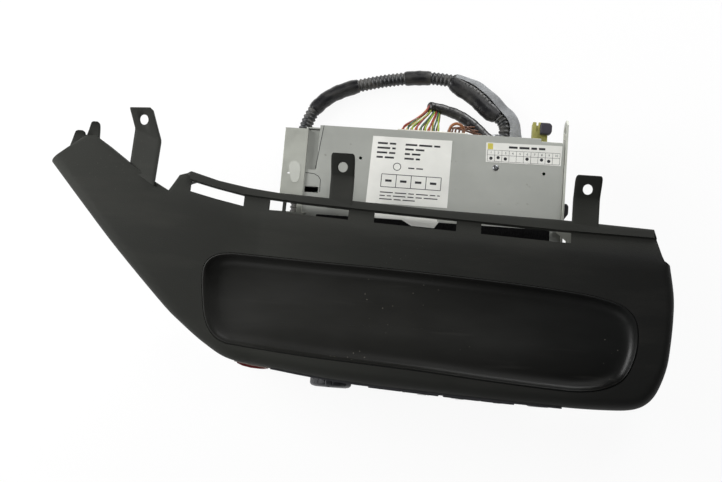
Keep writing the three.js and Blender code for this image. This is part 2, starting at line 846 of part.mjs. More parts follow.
// The smoked lens with its dish, and the display module that stands under it
function makeDisplay() {
  const bottom = lipHeight - 2 * lipRadius;
  const outer = prism(inset(lensOutline, gap), bottom, lipHeight + 2 * faceRise + overrun);
  const capped = outer.intersect(underFascia(0, -overrun));
  const kept = capped.intersect(lensDish(-lensWall, -lensRim - lensWall));
  add("display_lens", kept.subtract(lensDish(0, 0)), "lens");

  const front = fasciaFront + displayFront;
  const seat = bodyHeight + feltThickness + 2 * gap;
  const topAt = (y) => faceHeight(0, y) - lensDepthAt(y) - lensWall - gap;
  const frame = [
    [front, seat],
    [front + displayDepth, seat],
    [front + displayDepth, topAt(front + displayDepth)],
    [front, topAt(front)],
  ];
  const body = sidePrism(frame, -displayWidth / 2, displayWidth / 2);
  const border = lensWall;
  const glass = block(
    grown([-displayWidth / 2, displayWidth / 2], -border),
    [front + border, front + displayDepth - border],
    [topAt(front) - boardThickness / 2, lipHeight + faceRise],
  );
  add("display_module", body.subtract(glass), "black");
}

// The control face
const bezelFaceAt = (x) => frontAt(x) - bezelProud;
const bezelBack = -halfDepth - gap;
const boardFront = bezelBack - boardSetback;
const keySpan = keysLeft + keysRight;

// A row of keys of one height, shared out over the width between the dials
function keyRow(names, bottom, height) {
  const width = (keySpan - (names.length - 1) * keyGap) / names.length;
  return names.map((name, i) => {
    const left = -keysLeft + i * (width + keyGap);
    return { name, x: [left, left + width], z: [bottom, bottom + height] };
  });
}

const presetNames = Array.from({ length: 6 }, (_, i) => `preset_button_${i + 1}`);
const functionNames = ["source_button", "seek_down_button", "seek_up_button", "eject_button"];
const keys = [
  ...keyRow(presetNames, presetBottom, presetHeight),
  ...keyRow(functionNames, functionBottom, functionHeight),
];
const dials = [
  { name: "volume", x: -volumeOffset, radius: volumeDiameter / 2, proud: volumeProud, flutes: 18 },
  { name: "tune", x: tuneOffset, radius: tuneDiameter / 2, proud: tuneProud, flutes: 12 },
];
const discSlot = about(0, discSlotWidth);
const discSlotRise = about(discHeight, discSlotHeight);
const plateBack = -bezelProud + bezelPlate;
const wellDepth = dialSink + dialClearance;

function makeBezel() {
  const wide = [-bezelLeft + gap, bezelRight - gap];
  const tall = [bezelBottom + gap, bezelTop - gap];
  const plate = frontBand(wide, tall, -bezelProud, plateBack);
  const ring = frontBlock(grown(wide, -bezelInset), grown(tall, -bezelInset / 2), 0, bezelBack);
  const inside = frontBlock(
    grown(wide, -bezelInset - bezelWall),
    grown(tall, -bezelInset / 2 - bezelWall),
    plateBack,
    bezelBack + overrun,
  );
  const wells = dials.map(({ x, radius }) => {
    const from = [x, bezelFaceAt(x) + bezelPlate / 2, dialHeight];
    const length = wellDepth + wellFloor - bezelPlate / 2;
    return rod(radius + dialClearance + wellWall, from, length, alongY, 24);
  });
  const slotLip = frontBlock(grown(discSlot, bezelWall), grown(discSlotRise, bezelWall / 2), 0, bezelBack);
  const slot = block(discSlot, [fasciaFront - 2 * overrun, bezelBack + overrun], discSlotRise);
  const dialCuts = dials.flatMap(({ x, radius }) => {
    const face = bezelFaceAt(x);
    return [
      rod(radius + dialClearance, [x, face - overrun, dialHeight], overrun + wellDepth, alongY, 24),
      rod(shaftDiameter / 2 + gap, [x, face, dialHeight], 4 * overrun, alongY),
    ];
  });
  const keyCuts = keys.map(({ x, z }) =>
    block(grown(x, gap), [fasciaFront - 2 * overrun, boardFront - switchDepth], grown(z, gap)),
  );
  const whole = joined([plate, ring.subtract(inside), ...wells, slotLip]);
  add("front_bezel", cut(whole, [slot, ...dialCuts, ...keyCuts]), "bezel");
}

function makeKeys() {
  const flangeBack = plateBack + gap + buttonFlange;
  for (const { name, x, z } of keys) {
    const cap = frontBand(x, z, -bezelProud - buttonProud, flangeBack);
    const flangeWide = grown(x, buttonFlange - gap / 2);
    const flange = frontBand(flangeWide, grown(z, buttonFlange), plateBack + gap, flangeBack);
    const stemBack = boardFront - switchDepth - buttonTravel - gap;
    const stem = block(
      about(middleOf(x), stemSize),
      [frontAt(middleOf(x)) + plateBack, stemBack],
      about(middleOf(z), stemSize),
    );
    add(name, joined([cap, flange, stem]), "key");
  }
}

// A fluted dial with a rounded front edge, a dished face, a pointer groove and its shaft
function makeDial({ name, x, radius, proud, flutes }) {
  const edgeShares = [[0, 0], [0.74, 0], [0.9, 0.25], [0.97, 0.6], [1, 1]];
  const edge = Math.min(radius * 0.16, proud + dialSink);
  const front = bezelFaceAt(x) - proud;
  const depth = proud + dialSink;
  const centre = [x, front, dialHeight];
  const rim = scaled(edgeShares, radius, edge);
  const body = turned([...rim, [radius, depth], [0, depth]], centre, alongY, 2 * flutes);
  const grooves = Array.from({ length: flutes }, (_, i) => {
    const turn = (2 * Math.PI * i) / flutes;
    const away = radius + edge * 0.2;
    const from = [x + away * Math.cos(turn), front - overrun, dialHeight + away * Math.sin(turn)];
    return rod(edge * 0.4, from, overrun + depth - dialSink + dialClearance, alongY, 6);
  });
  const dishShares = [[0, 0], [0.62, 0], [0.62, 0.15], [0, 0.5]];
  const dishProfile = scaled(dishShares, radius, edge).map(([r, deep], i) => [r, i < 2 ? -overrun : deep]);
  const dish = turned(dishProfile, centre, alongY, 24);
  const pointer = block(
    about(x, edge * 0.5),
    [front - overrun, front + edge * 0.4],
    [dialHeight + radius * 0.64, dialHeight + radius * 0.92],
  );
  const shaftFrom = front + depth - wellWall;
  const shaftTo = boardFront - gap - encoderDepth / 3;
  const shaft = rod(shaftDiameter / 2, [x, shaftFrom, dialHeight], shaftTo - shaftFrom, alongY);
  add(`${name}_dial`, joined([cut(body, [...grooves, dish, pointer]), shaft]), "key");
}

function makeEncoder({ name, x }) {
  const back = boardFront - gap;
  const front = back - encoderDepth;
  const housing = block(about(x, encoderSize), [front, back], about(dialHeight, encoderSize));
  const bushRadius = shaftDiameter / 2 + 2 * gap + wellWall;
  const bush = rod(bushRadius, [x, front - encoderNose, dialHeight], 2 * encoderNose, alongY);
  const boreDepthShare = 0.8;
  const boreLength = overrun + encoderDepth * boreDepthShare;
  const bore = rod(shaftDiameter / 2 + gap, [x, front - overrun, dialHeight], boreLength, alongY);
  add(`${name}_encoder`, joined([housing, bush]).subtract(bore), "steel");
}

function makeControlBoard() {
  const margin = bezelInset + bezelWall + gap;
  const board = block(
    [-bezelLeft + gap + margin, bezelRight - gap - margin],
    [boardFront, boardFront + boardThickness],
    [bezelBottom + margin - bezelInset / 2, discSlotRise[0] - bezelWall / 2 - 2 * gap],
  );
  const switches = keys.map(({ x, z }) => {
    const depth = [boardFront - switchDepth, boardFront + boardThickness / 2];
    return block(about(middleOf(x), switchSize), depth, about(middleOf(z), switchSize));
  });
  add("control_board", joined([board, ...switches]), "board");
}

// The hazard warning button in the fascia's left cheek, with its pale rim and switch body
function makeHazard() {
  const x = [-hazardLeft, -hazardRight];
  const z = [hazardBottom, hazardBottom + hazardHeight];
  const back = frontAt(x[1]) + hazardDepth;
  const rimOut = frontBand(grown(x, hazardRim), grown(z, hazardRim), -hazardRimProud, fasciaWall);
  const housing = frontBlock(grown(x, hazardRim), grown(z, hazardRim), fasciaWall / 2, back);
  const inside = frontBlock(grown(x, gap), grown(z, gap), -overrun, back - hazardRim);
  add("hazard_switch", joined([rimOut, housing]).subtract(inside), "rim");

  const bulgeShares = [[-1, 0.35], [-0.6, 0.8], [0, 1], [0.6, 0.8], [1, 0.35]];
  const half = (x[1] - x[0]) / 2;
  const front = bulgeShares.map(([side, out]) => {
    const px = middleOf(x) + side * half;
    return [px, frontAt(px) - hazardRimProud - hazardProud * out];
  });
  const capBack = frontAt(x[0]) + fasciaWall;
  const cap = prism([...front, [x[1], capBack], [x[0], capBack]], ...z);
  const stem = block(
    about(middleOf(x), 2 * stemSize),
    [capBack - hazardRim, back - hazardRim - hazardTravel - gap],
    grown(z, -stemSize),
  );
  add("hazard_button", joined([cap, stem]), "hazard");
}

// Places in the metal body
const innerTop = bodyHeight - sheet - gap;
const damperInset = 14;
const damperOutset = 8;
const damperForward = 30;
const damperPlaces = [[-1, -1], [1, -1], [-1, 1], [1, 1]].map(([sx, sy]) => [
  sx * (playerHalfWidth + damperOutset),
  sy > 0 ? playerRear - damperInset : -playerFront + damperForward,
]);
const postInset = 14;
const postMargin = 22;
const postPlaces = [[-1, -1], [1, -1], [-1, 1], [1, 1]].map(([sx, sy]) => [
  sx * (halfWidth - postInset),
  sy * (halfDepth - postMargin),
]);
const grooveWidth = 9.4;
const grooveDepth = 30.4;
const grooveEdge = -halfWidth + grooveWidth;
const grooveFront = halfDepth - grooveDepth;
const plateTop = plateHeight + plateSheet;
const spindleY = -spindleBack;

function makeTub() {
  const discWindowMargin = 2;
  const discWindowDrop = 7.5;
  const cableWindowWidth = 60;
  const cableWindowBottom = 11;
  const cableWindowTop = 20;
  const pinHeight = 8;
  const ledgeDrop = 2.5;
  const ledgeLap = 2;
  const height = [0, innerTop];
  const floor = block([-halfWidth, halfWidth], [-halfDepth, halfDepth], [0, sheet]);
  const sides = [-1, 1].map((side) =>
    block(mirrored([halfWidth - sheet, halfWidth], side), [-halfDepth, halfDepth], height),
  );
  const front = block([-halfWidth, halfWidth], [-halfDepth, -halfDepth + sheet], height);
  const posts = postPlaces.map(([x, y]) =>
    rod(postRadius, [x, y, sheet / 2], mainBoardHeight - gap - sheet / 2, alongZ, 12),
  );
  const tabs = damperPlaces.map(([x, y]) => {
    const span = mirrored([Math.abs(x) - damperRadius, halfWidth - sheet / 2], Math.sign(x));
    return block(span, about(y, damperRadius * 2.6), [damperShelf - sheet, damperShelf]);
  });
  const pins = damperPlaces.map(([x, y]) =>
    rod(screwShankRadius, [x, y, damperShelf - sheet / 2], pinHeight, alongZ, 10),
  );
  const ledgeTop = innerTop - ledgeDrop + sheet;
  const ledge = block(
    [-halfWidth + sheet / 2, grooveEdge + ledgeLap],
    [grooveFront - ledgeLap, halfDepth - sheet - gap],
    [ledgeTop - sheet, ledgeTop],
  );
  const discWindow = block(
    grown(discSlot, discWindowMargin),
    about(-halfDepth, 2 * overrun),
    [discSlotRise[0] - discWindowDrop, discSlotRise[1] + sheet],
  );
  const cableWindow = block(
    about(0, cableWindowWidth),
    about(-halfDepth, 2 * overrun),
    [cableWindowBottom, cableWindowTop],
  );
  const tub = joined([floor, ...sides, front, ...posts, ...tabs, ...pins, ledge]);
  add("chassis_tub", cut(tub, [discWindow, cableWindow]), "zinc");
}

function makeCover() {
  const lipDrop = 8;
  const lipLeft = 4;
  const lipRight = 20;
  const holeLeft = 2.3;
  const holeWidth = 9.5;
  const holeBack = 46.4;
  const holeDepth = 4;
  const notchRight = 1;
  const notchWidth = 15;
  const notchDepth = 0.9;
  const pipRadius = 1.1;
  const rightPipIn = 13;
  const rightPipBack = 22.8;
  const leftPipIn = 39.3;
  const leftPipBack = 20.1;
  const coverScrewIn = 45.7;
  const coverScrewBack = 20.8;
  const rightPip = [halfWidth - rightPipIn, halfDepth - rightPipBack];
  const leftPip = [-halfWidth + leftPipIn, halfDepth - leftPipBack];
  const coverScrew = [halfWidth - coverScrewIn, halfDepth - coverScrewBack];
  const through = about(bodyHeight, 4 * overrun);
  const rear = halfDepth + gap + sheet;
  const top = block([-halfWidth, halfWidth], [-halfDepth, rear], [bodyHeight - sheet, bodyHeight]);
  const lip = block(
    [-halfWidth + lipLeft, halfWidth - lipRight],
    [halfDepth + gap, rear],
    [bodyHeight - lipDrop, bodyHeight],
  );
  const groove = block([-halfWidth - overrun, grooveEdge], [grooveFront, halfDepth + overrun], through);
  const holeFrom = -halfWidth + holeLeft;
  const holeFront = halfDepth - holeBack;
  const hole = block([holeFrom, holeFrom + holeWidth], [holeFront, holeFront + holeDepth], through);
  const notchTo = halfWidth - notchRight;
  const notch = block([notchTo - notchWidth, notchTo], [halfDepth - notchDepth, rear + overrun], through);
  const pips = [rightPip, leftPip].map(([x, y]) => drill(pipRadius, [x, y, bodyHeight], overrun, alongZ));
  const screwHole = drill(screwShankRadius + gap, [...coverScrew, bodyHeight], overrun, alongZ);
  add("top_cover", cut(joined([top, lip]), [groove, hole, notch, ...pips, screwHole]), "zinc");
}

// A round-headed screw with a cross recess, its head's flat side at a height, pointing up
function makeScrew(name, [x, y, z], length) {
  const headShares = [[0, 0], [0.55, 0], [1, 0.35], [1, 0.6], [0, 0.6]];
  const r = screwHeadRadius;
  const head = turned(scaled(headShares, r, r), [x, y, z], alongZ, 12);
  const shank = rod(screwShankRadius, [x, y, z], length, alongZ, 8);
  const arm = 1.2 * r;
  const slit = 0.24 * r;
  const recess = about(z, 0.6 * r);
  const cross = [
    block(about(x, arm), about(y, slit), recess),
    block(about(x, slit), about(y, arm), recess),
  ];
  add(name, cut(joined([head, shank]), cross), "steel");
}

function makeFelt() {
  const feltLeftMargin = 12;
  const feltRightMargin = 7;
  const feltMargin = 9;
  const rearMargin = 0.5;
  const low = bodyHeight + gap;
  const deep = [-halfDepth + feltMargin, footRear - rearMargin];
  const wide = [-halfWidth + feltLeftMargin, halfWidth - feltRightMargin];
  add("dust_felt", block(wide, deep, [low, low + feltThickness]), "felt");
}

const socketSpan = [-socketLeft, socketRight];
const socketRise = [socketBottom, socketTop];
const sinkSpan = [-sinkLeft, -sinkRight];
const sinkRise = [sinkBottom, sinkTop];
const auxSpan = [auxLeft, auxRight];
const auxRise = [auxBottom, auxTop];
const finBase = 3;
const sinkFront = halfDepth - gap - finDepth - finBase;

function makeRearPanel() {
  const wide = halfWidth - sheet - gap;
  const panel = block([-wide, wide], [halfDepth - sheet, halfDepth], [sheet + gap, innerTop]);
  const through = about(halfDepth, 2 * overrun);
  const cuts = [
    block(grown(socketSpan, gap), through, grown(socketRise, gap)),
    block(grown(auxSpan, gap), through, grown(auxRise, gap)),
    block(grown(sinkSpan, gap), through, grown(sinkRise, gap)),
    drill(aerialRadius + gap, [aerialOffset, halfDepth, aerialHeight], overrun, alongY, 20),
  ];
  add("rear_panel", cut(panel, cuts), "zinc");
}

function makeHeatSink() {
  const count = 8;
  const rear = halfDepth - gap;
  const base = block(sinkSpan, [sinkFront, sinkFront + finBase], sinkRise);
  const pitch = (sinkSpan[1] - sinkSpan[0] - finWall) / (count - 1);
  const fins = Array.from({ length: count }, (_, i) => {
    const left = sinkSpan[0] + i * pitch;
    return block([left, left + finWall], [sinkFront + finBase / 2, rear], sinkRise);
  });
  add("heat_sink", joined([base, ...fins]), "aluminium");
}

// The main board with its larger parts and the power stage that leans on the heat sink
function makeMainBoard() {
  const margin = 5;
  const holeRadius = 1.2;
  const chipHeight = 2;
  const chipShares = [
    [-0.22, -0.13, 0.08, 0.095], [0.06, -0.2, 0.055, 0.105], [0.22, -0.07, 0.07, 0.08],
    [-0.06, 0.13, 0.1, 0.065],
  ];
  const stageWidth = 26;
  const stageDepth = 4.5;
  const stageHeight = 19;
  const canWidth = 28;
  const canDepth = 40;
  const canClearance = 7.1;
  const canSide = 9;
  const canBack = 17;
  const capacitorRadius = 8;
  const capacitorClearance = 6.1;
  const capacitorLeft = 20;
  const capacitorBack = 27;
  const top = mainBoardHeight + boardThickness;
  const inBoard = mainBoardHeight + boardThickness / 2;
  const board = block(
    grown([-halfWidth, halfWidth], -margin),
    grown([-halfDepth, halfDepth], -margin),
    [mainBoardHeight, top],
  );
  const holes = postPlaces.map(([x, y]) => drill(holeRadius, [x, y, mainBoardHeight], overrun, alongZ, 10));
  const chips = chipShares.map(([u, v, wide, deep]) =>
    block(
      about(u * bodyWidth, wide * bodyWidth),
      about(v * bodyDepth, deep * bodyDepth),
      [inBoard, top + chipHeight],
    ),
  );
  const seat = top + gap;
  const stage = block(
    about(middleOf(sinkSpan), stageWidth),
    [sinkFront - gap - stageDepth, sinkFront - gap],
    [inBoard, seat + stageHeight],
  );
  add("main_board", cut(joined([board, ...chips, stage]), holes), "board");
  const canRight = halfWidth - canSide;
  const canRear = halfDepth - canBack;
  const canRise = [seat, plateHeight - canClearance];
  const can = block([canRight - canWidth, canRight], [canRear - canDepth, canRear], canRise);
  add("tuner_can", can, "bracket");
  const sleeveShares = [
    [0, 0], [0.9, 0], [1, 0.06], [1, 0.17], [0.94, 0.21], [1, 0.26], [1, 0.95], [0.92, 1], [0, 1],
  ];
  const sleeve = scaled(sleeveShares, capacitorRadius, plateHeight - capacitorClearance - seat);
  const sleeveFrom = [-capacitorLeft, halfDepth - capacitorBack, seat];
  add("smoothing_capacitor", turned(sleeve, sleeveFrom, alongZ, 16), "black");
}

// Places in the disc player, which follow the disc's plane and the spindle
const discBottom = discHeight - discThickness / 2;
const discTop = discHeight + discThickness / 2;
const railTop = discHeight + railRise;
const rollerY = -playerFront + rollerSetback;
const rollerZ = discBottom - gap - rollerRadius;
const armPivotZ = railTop - armPivotDrop;
const sledRest = spindleY + sledStart;
const sledEnd = sledRest + sledTravel + sledLength;
const lugFront = spindleY + sledStart - 4 * plateSheet + gap;
const lugRear = sledEnd + plateSheet;
const lugHalf = 4;
const earRise = 3;

function makePlayerFrame() {
  const motorClearance = 9;
  const windowHalf = 17;
  const earHalf = 7;
  const earReachOut = 1.5;
  const deep = [-playerFront, playerRear];
  const plate = block([-playerHalfWidth, playerHalfWidth], deep, [plateHeight, plateTop]);
  const rails = [-1, 1].map((side) =>
    block(mirrored([playerHalfWidth - plateSheet, playerHalfWidth], side), deep, [plateHeight, railTop]),
  );
  const earBottom = damperShelf + earRise;
  const ears = damperPlaces.map(([x, y]) => {
    const outer = Math.abs(x) + damperRadius + earReachOut;
    const span = mirrored([playerHalfWidth - plateSheet / 2, outer], Math.sign(x));
    return block(span, about(y, 2 * earHalf), [earBottom, earBottom + plateSheet]);
  });
  const earHoles = damperPlaces.map(([x, y]) => drill(damperNeck + gap, [x, y, earBottom], overrun, alongZ));
  const rollerBores = [-1, 1].map((side) =>
    drill(rollerShaftRadius + gap, [side * playerHalfWidth, rollerY, rollerZ], overrun, alongX, 10),
  );
  const windowDeep = [lugFront + plateSheet + gap, sledEnd];
  const sledWindow = block(about(0, 2 * windowHalf), windowDeep, [0, guideHeight]);
  const motorHole = rod(motorClearance, [0, spindleY, 0], guideHeight, alongZ);
  const lugRise = [plateHeight, guideHeight + lugHalf];
  const frontLugs = [-guideOffset, guideOffset].map((x) =>
    block(about(x, 2 * lugHalf), [lugFront, lugFront + plateSheet], lugRise),
  );
  const rearLug = block(about(0, 2 * (guideOffset + lugHalf)), [lugRear, lugRear + plateSheet], lugRise);
  const lugBores = [-guideOffset, guideOffset].map((x) =>
    rod(guideRadius + gap, [x, spindleY, guideHeight], playerRear + 4 * overrun, alongY, 10),
  );
  const pivots = [-1, 1].map((side) =>
    drill(armPinRadius + gap, [side * playerHalfWidth, armPivotBack, armPivotZ], overrun, alongX, 10),
  );
  const frame = joined([plate, ...rails, ...ears, ...frontLugs, rearLug]);
  const cutters = [...earHoles, ...rollerBores, sledWindow, motorHole, ...lugBores, ...pivots];
  add("player_frame", cut(frame, cutters), "bracket");
}

const damperNeck = damperRadius - 1.4 * (damperRadius / 4.4);

// The four grommets that carry the player, each gripping an ear in its waist
function makeDampers() {
  const damperHeight = 7;
  const bore = screwShankRadius + gap;
  const low = damperShelf + gap;
  const high = damperShelf + damperHeight;
  const waistLow = damperShelf + earRise - gap;
  const waistHigh = damperShelf + earRise + plateSheet + gap;
  const profile = [
    [bore, low],
    [damperRadius, low],
    [damperRadius, waistLow],
    [damperNeck, waistLow],
    [damperNeck, waistHigh],
    [damperRadius, waistHigh],
    [damperRadius, high],
    [bore, high],
    [bore, low],
  ];
  damperPlaces.forEach(([x, y], i) => {
    add(`damper_${i + 1}`, turned(profile, [x, y, 0], alongZ, 10), "rubber");
  });
}

// The roller that draws a disc in, with a waist so that only the disc's edges are touched
function makeRoller() {
  const endClearance = 2;
  const shaftReach = 1.5;
  const waistShare = 0.84;
  const half = playerHalfWidth - plateSheet - endClearance;
  const shaftEnd = playerHalfWidth + shaftReach;
  const profile = [
    [0, -shaftEnd],
    [rollerShaftRadius, -shaftEnd],
    [rollerShaftRadius, -half],
    [rollerRadius, -half],
    [rollerRadius * waistShare, 0],
    [rollerRadius, half],
    [rollerShaftRadius, half],
    [rollerShaftRadius, shaftEnd],
    [0, shaftEnd],
  ];
  add("feed_roller", turned(profile, [0, rollerY, rollerZ], alongX, 14), "rubber");
}

// The spindle motor under its plate, and the turntable with its centring cone
function makeSpindle() {
  const canRadius = 8.6;
  const canLength = 10;
  const noseRadius = 3;
  const noseRise = 1.5;
  const flangeHalf = 12;
  const flangeDeep = 5;
  const shaftRadius = 1;
  const shaftSink = 6;
  const tableRadius = 14.5;
  const tableRim = 1;
  const hubRadius = 7.6;
  const coneRise = 1;
  const coneTop = 1.6;
  const coneRadius = 4.2;
  const noseTop = plateTop + noseRise;
  const canBottom = plateHeight - canLength;
  const motor = turned(
    [[0, canBottom], [canRadius, canBottom], [canRadius, plateTop], [noseRadius, plateTop],
      [noseRadius, noseTop], [0, noseTop]],
    [0, spindleY, 0],
    alongZ,
    16,
  );
  const flangeLow = plateTop + gap;
  const flangeRise = [flangeLow, flangeLow + tableRim];
  const flange = block(about(0, 2 * flangeHalf), about(spindleY, 2 * flangeDeep), flangeRise);
  const boreDepth = shaftSink + coneTop;
  const bore = rod(shaftRadius + gap, [0, spindleY, noseTop - boreDepth], boreDepth + overrun, alongZ, 12);
  add("spindle_motor", joined([motor, flange]).subtract(bore), "steel");

  const low = noseTop + tableRim;
  const top = discBottom - gap;
  const table = turned(
    [
      [0, noseTop - shaftSink], [shaftRadius, noseTop - shaftSink], [shaftRadius, low],
      [tableRadius - coneTop, low + coneTop / 2], [tableRadius, top - tableRim], [tableRadius, top],
      [hubRadius, top], [hubRadius - coneRise, top + coneRise], [coneRadius, top + coneTop],
      [0, top + coneTop],
    ],
    [0, spindleY, 0],
    alongZ,
    16,
  );
  add("disc_turntable", table, "black");
}

// The clamp arm lifts about the pins at its rear and carries the disc clamp over the turntable
function makeClamp() {
  const pinReach = 0.8;
  const shoulder = 12;
  const heel = 4;
  const noseMargin = 4;
  const noseFront = 18;
  const noseRear = 10;
  const cheekDrop = 3;
  const holeRadius = 4.2;
  const wide = playerHalfWidth - plateSheet - gap;
  const noseHalf = clampRadius + noseMargin;
  const half = [
    [wide, armPivotBack + heel],
    [wide, armPivotBack - shoulder],
    [noseHalf, spindleY + noseRear],
    [noseHalf, spindleY - noseFront],
  ];
  const left = half.map(([x, y]) => [-x, y]);
  const pad = prism([...left, ...half.reverse()], railTop - armThickness, railTop);
  const cheeks = [-1, 1].map((side) =>
    block(
      mirrored([wide - plateSheet, wide], side),
      about(armPivotBack, 2 * heel),
      [armPivotZ - cheekDrop, railTop - armThickness / 2],
    ),
  );
  const pins = [-1, 1].map((side) => {
    const [from, to] = mirrored([wide - plateSheet / 2, playerHalfWidth + pinReach], side);
    return rod(armPinRadius, [from, armPivotBack, armPivotZ], to - from, alongX, 12);
  });
  const hole = drill(holeRadius, [0, spindleY, railTop], overrun, alongZ, 20);
  add("clamp_arm", joined([pad, ...cheeks, ...pins]).subtract(hole), "bracket");

  const recessRadius = 5.4;
  const recessHeight = 0.9;
  const skirt = 1.2;
  const capThickness = 0.6;
  const stemRadius = holeRadius - gap - gap / 3;
  const capRadius = holeRadius + clampRadius / 10;
  const low = discTop + 2 * gap;
  const capLow = railTop + gap;
  const disc = turned(
    [
      [recessRadius, low], [clampRadius, low], [clampRadius, low + skirt], [stemRadius, low + skirt],
      [stemRadius, capLow], [capRadius, capLow], [capRadius, capLow + capThickness],
      [0, capLow + capThickness], [0, low + recessHeight], [recessRadius, low + recessHeight],
      [recessRadius, low],
    ],
    [0, spindleY, 0],
    alongZ,
    16,
  );
  add("disc_clamp", disc, "black");
}

// The laser sled between its guide rod and its lead screw, with the motor that turns the screw
function makeSled() {
  const sledHalfHeight = 3;
  const bodyHalf = 12;
  const bodyDrop = 4;
  const lensRadius = 4.4;
  const lensHeight = 3.2;
  const rodReach = 1;
  const threadDepth = 0.35;
  const threadTurns = 10;
  const motorRadius = 4.4;
  const motorLength = 14;
  const deep = [sledRest, sledRest + sledLength];
  const bridge = block(about(0, 2 * (guideOffset + lugHalf)), deep, about(guideHeight, 2 * sledHalfHeight));
  const opticsRise = [plateHeight - bodyDrop, guideHeight];
  const optics = block(about(0, 2 * bodyHalf), grown(deep, -rodReach), opticsRise);
  const lensShapeShares = [[0, 0], [1, 0], [1, 0.62], [0.78, 1], [0, 1]];
  const lensFrom = [0, middleOf(deep), guideHeight + sledHalfHeight - threadDepth];
  const lens = turned(scaled(lensShapeShares, lensRadius, lensHeight), lensFrom, alongZ, 20);
  const bores = [-guideOffset, guideOffset].map((x) =>
    drill(guideRadius + gap, [x, middleOf(deep), guideHeight], sledLength, alongY, 14),
  );
  add("laser_sled", cut(joined([bridge, optics, lens]), bores), "black");

  const from = lugFront - rodReach;
  const to = lugRear + plateSheet + rodReach;
  add("guide_rod", rod(guideRadius, [guideOffset, from, guideHeight], to - from, alongY, 14), "steel");

  const threadFrom = sledRest - rodReach;
  const pitch = (sledEnd - threadFrom) / threadTurns;
  const profile = [[0, from], [guideRadius, from]];
  for (let i = 0; i <= threadTurns; i++) {
    profile.push([guideRadius, threadFrom + pitch * i]);
    if (i < threadTurns) profile.push([guideRadius - threadDepth, threadFrom + pitch * (i + 1 / 2)]);
  }
  profile.push([guideRadius, to], [0, to]);
  add("lead_screw", turned(profile, [-guideOffset, 0, guideHeight], alongY, 8), "steel");

  const motorFrom = from - gap - motorLength;
  const motor = rod(motorRadius, [-guideOffset, motorFrom, guideHeight], motorLength, alongY);
  const foot = block(
    about(-guideOffset, 2 * lugHalf),
    grown([motorFrom, motorFrom + motorLength], -rodReach),
    [plateTop + gap, guideHeight],
  );
  add("sled_motor", joined([motor, foot]), "steel");
}

// The foot of a side bracket, which carries one of the fascia's bosses
function footPlate(side, reach) {
  const footLap = 5;
  const footStart = 4;
  const rampShare = 0.42;
  const at = (x, y) => [side * x, y];
  const points = [
    at(halfWidth - footLap, footRear),
    at(halfWidth + footStart, footRear - footDepth * rampShare),
    at(halfWidth + footStart, footRear - footDepth),
    at(halfWidth + reach, footRear - footDepth),
    at(halfWidth + reach, footRear),
  ];
  const plate = prism(side > 0 ? points : points.reverse(), footHeight, footHeight + bracketSheet);
  const [x, y] = bossPlaces[side > 0 ? 1 : 0];
  return plate.subtract(drill(screwShankRadius + gap, [x, y, footHeight], overrun, alongZ));
}

function sidePlate(side, deep) {
  const plateLow = 5;
  const holeHeightShare = 0.5;
  const holeShares = [-0.6, -0.13, 0.53];
  const inner = halfWidth + gap;
  const wide = mirrored([inner, inner + bracketSheet], side);
  const plate = block(wide, deep, [plateLow, footHeight + bracketSheet]);
  const holeHeight = bodyHeight * holeHeightShare;
  const holes = holeShares.map((share) =>
    drill(screwHoleRadius, [side * inner, share * halfDepth, holeHeight], overrun, alongX, 16),
  );
  return cut(plate, holes);
}

const sideMargin = 4;
const sideFront = -halfDepth + sideMargin;

// The left bracket: a side plate with a foot, and a wide flange with a pressed mark
function makeLeftBracket() {
  const flangeLap = 1.6;
  const markWidth = 6;
  const markDepth = 1.2;
  const markOut = 7.5;
  const markBack = 34;
  const pipRadius = 1.4;
  const pipRise = 3.6;
  const lap = 2;
  const top = [footHeight, footHeight + bracketSheet];
  const flangeFront = flangeRear - flangeDepth;
  const inner = -halfWidth + flangeLap;
  const flange = block([-halfWidth - gap - flangeReach, inner], [flangeFront, flangeRear], top);
  const strip = block([-halfWidth - gap - bracketSheet, inner], [footRear - lap, flangeFront + lap], top);
  const markX = -halfWidth - markOut;
  const markY = halfDepth - markBack;
  const mark = block(about(markX, markWidth), about(markY, markDepth), grown(top, overrun));
  const pip = drill(pipRadius, [markX, markY + pipRise, footHeight], overrun, alongZ);
  const plates = [sidePlate(-1, [sideFront, flangeRear]), flange, strip, footPlate(-1, footReachLeft)];
  add("left_bracket", cut(joined(plates), [mark, pip]), "bracket");
}

// The right bracket: a side plate with a foot, and an upright ear behind the body
function makeRightBracket() {
  const earLap = 2;
  const corner = 4;
  const top = footHeight + bracketSheet;
  const front = halfDepth - earLap;
  const rear = halfDepth + earReach;
  const bottom = top - earHeight;
  const outer = [halfWidth + gap, halfWidth + gap + bracketSheet];
  const ear = sidePrism(
    [
      [front, bottom], [rear - corner, bottom], [rear, bottom + corner],
      [rear, top - corner], [rear - corner, top], [front, top],
    ],
    ...outer,
  );
  const holeY = halfDepth + earReach * 0.6;
  const hole = drill(screwHoleRadius, [outer[0], holeY, top - earHeight / 2], overrun, alongX, 18);
  const plates = [sidePlate(1, [sideFront, halfDepth]), ear, footPlate(1, footReach)];
  add("right_bracket", joined(plates).subtract(hole), "bracket");
}

function makeBumper() {
  const bumperBack = 46;
  const bumperDepth = 8.8;
  const bumperProud = 3.2;
  const bumperHeight = 20;
  const bumperDrop = 4;
  const bumperMiddle = halfDepth - bumperBack;
  const bumperTop = bodyHeight - bumperDrop;
  const bumperBottom = bumperTop - bumperHeight;
  const bumperShares = [[0, -0.5], [0.625, -0.5], [1, -0.3], [1, 0.3], [0.625, 0.5], [0, 0.5]];
  const from = halfWidth + gap + bracketSheet + gap;
  const plan = scaled(bumperShares, bumperProud, bumperDepth).map(([x, y]) => [from + x, bumperMiddle + y]);
  add("side_bumper", prism(plan, bumperBottom, bumperTop), "rubber");
}

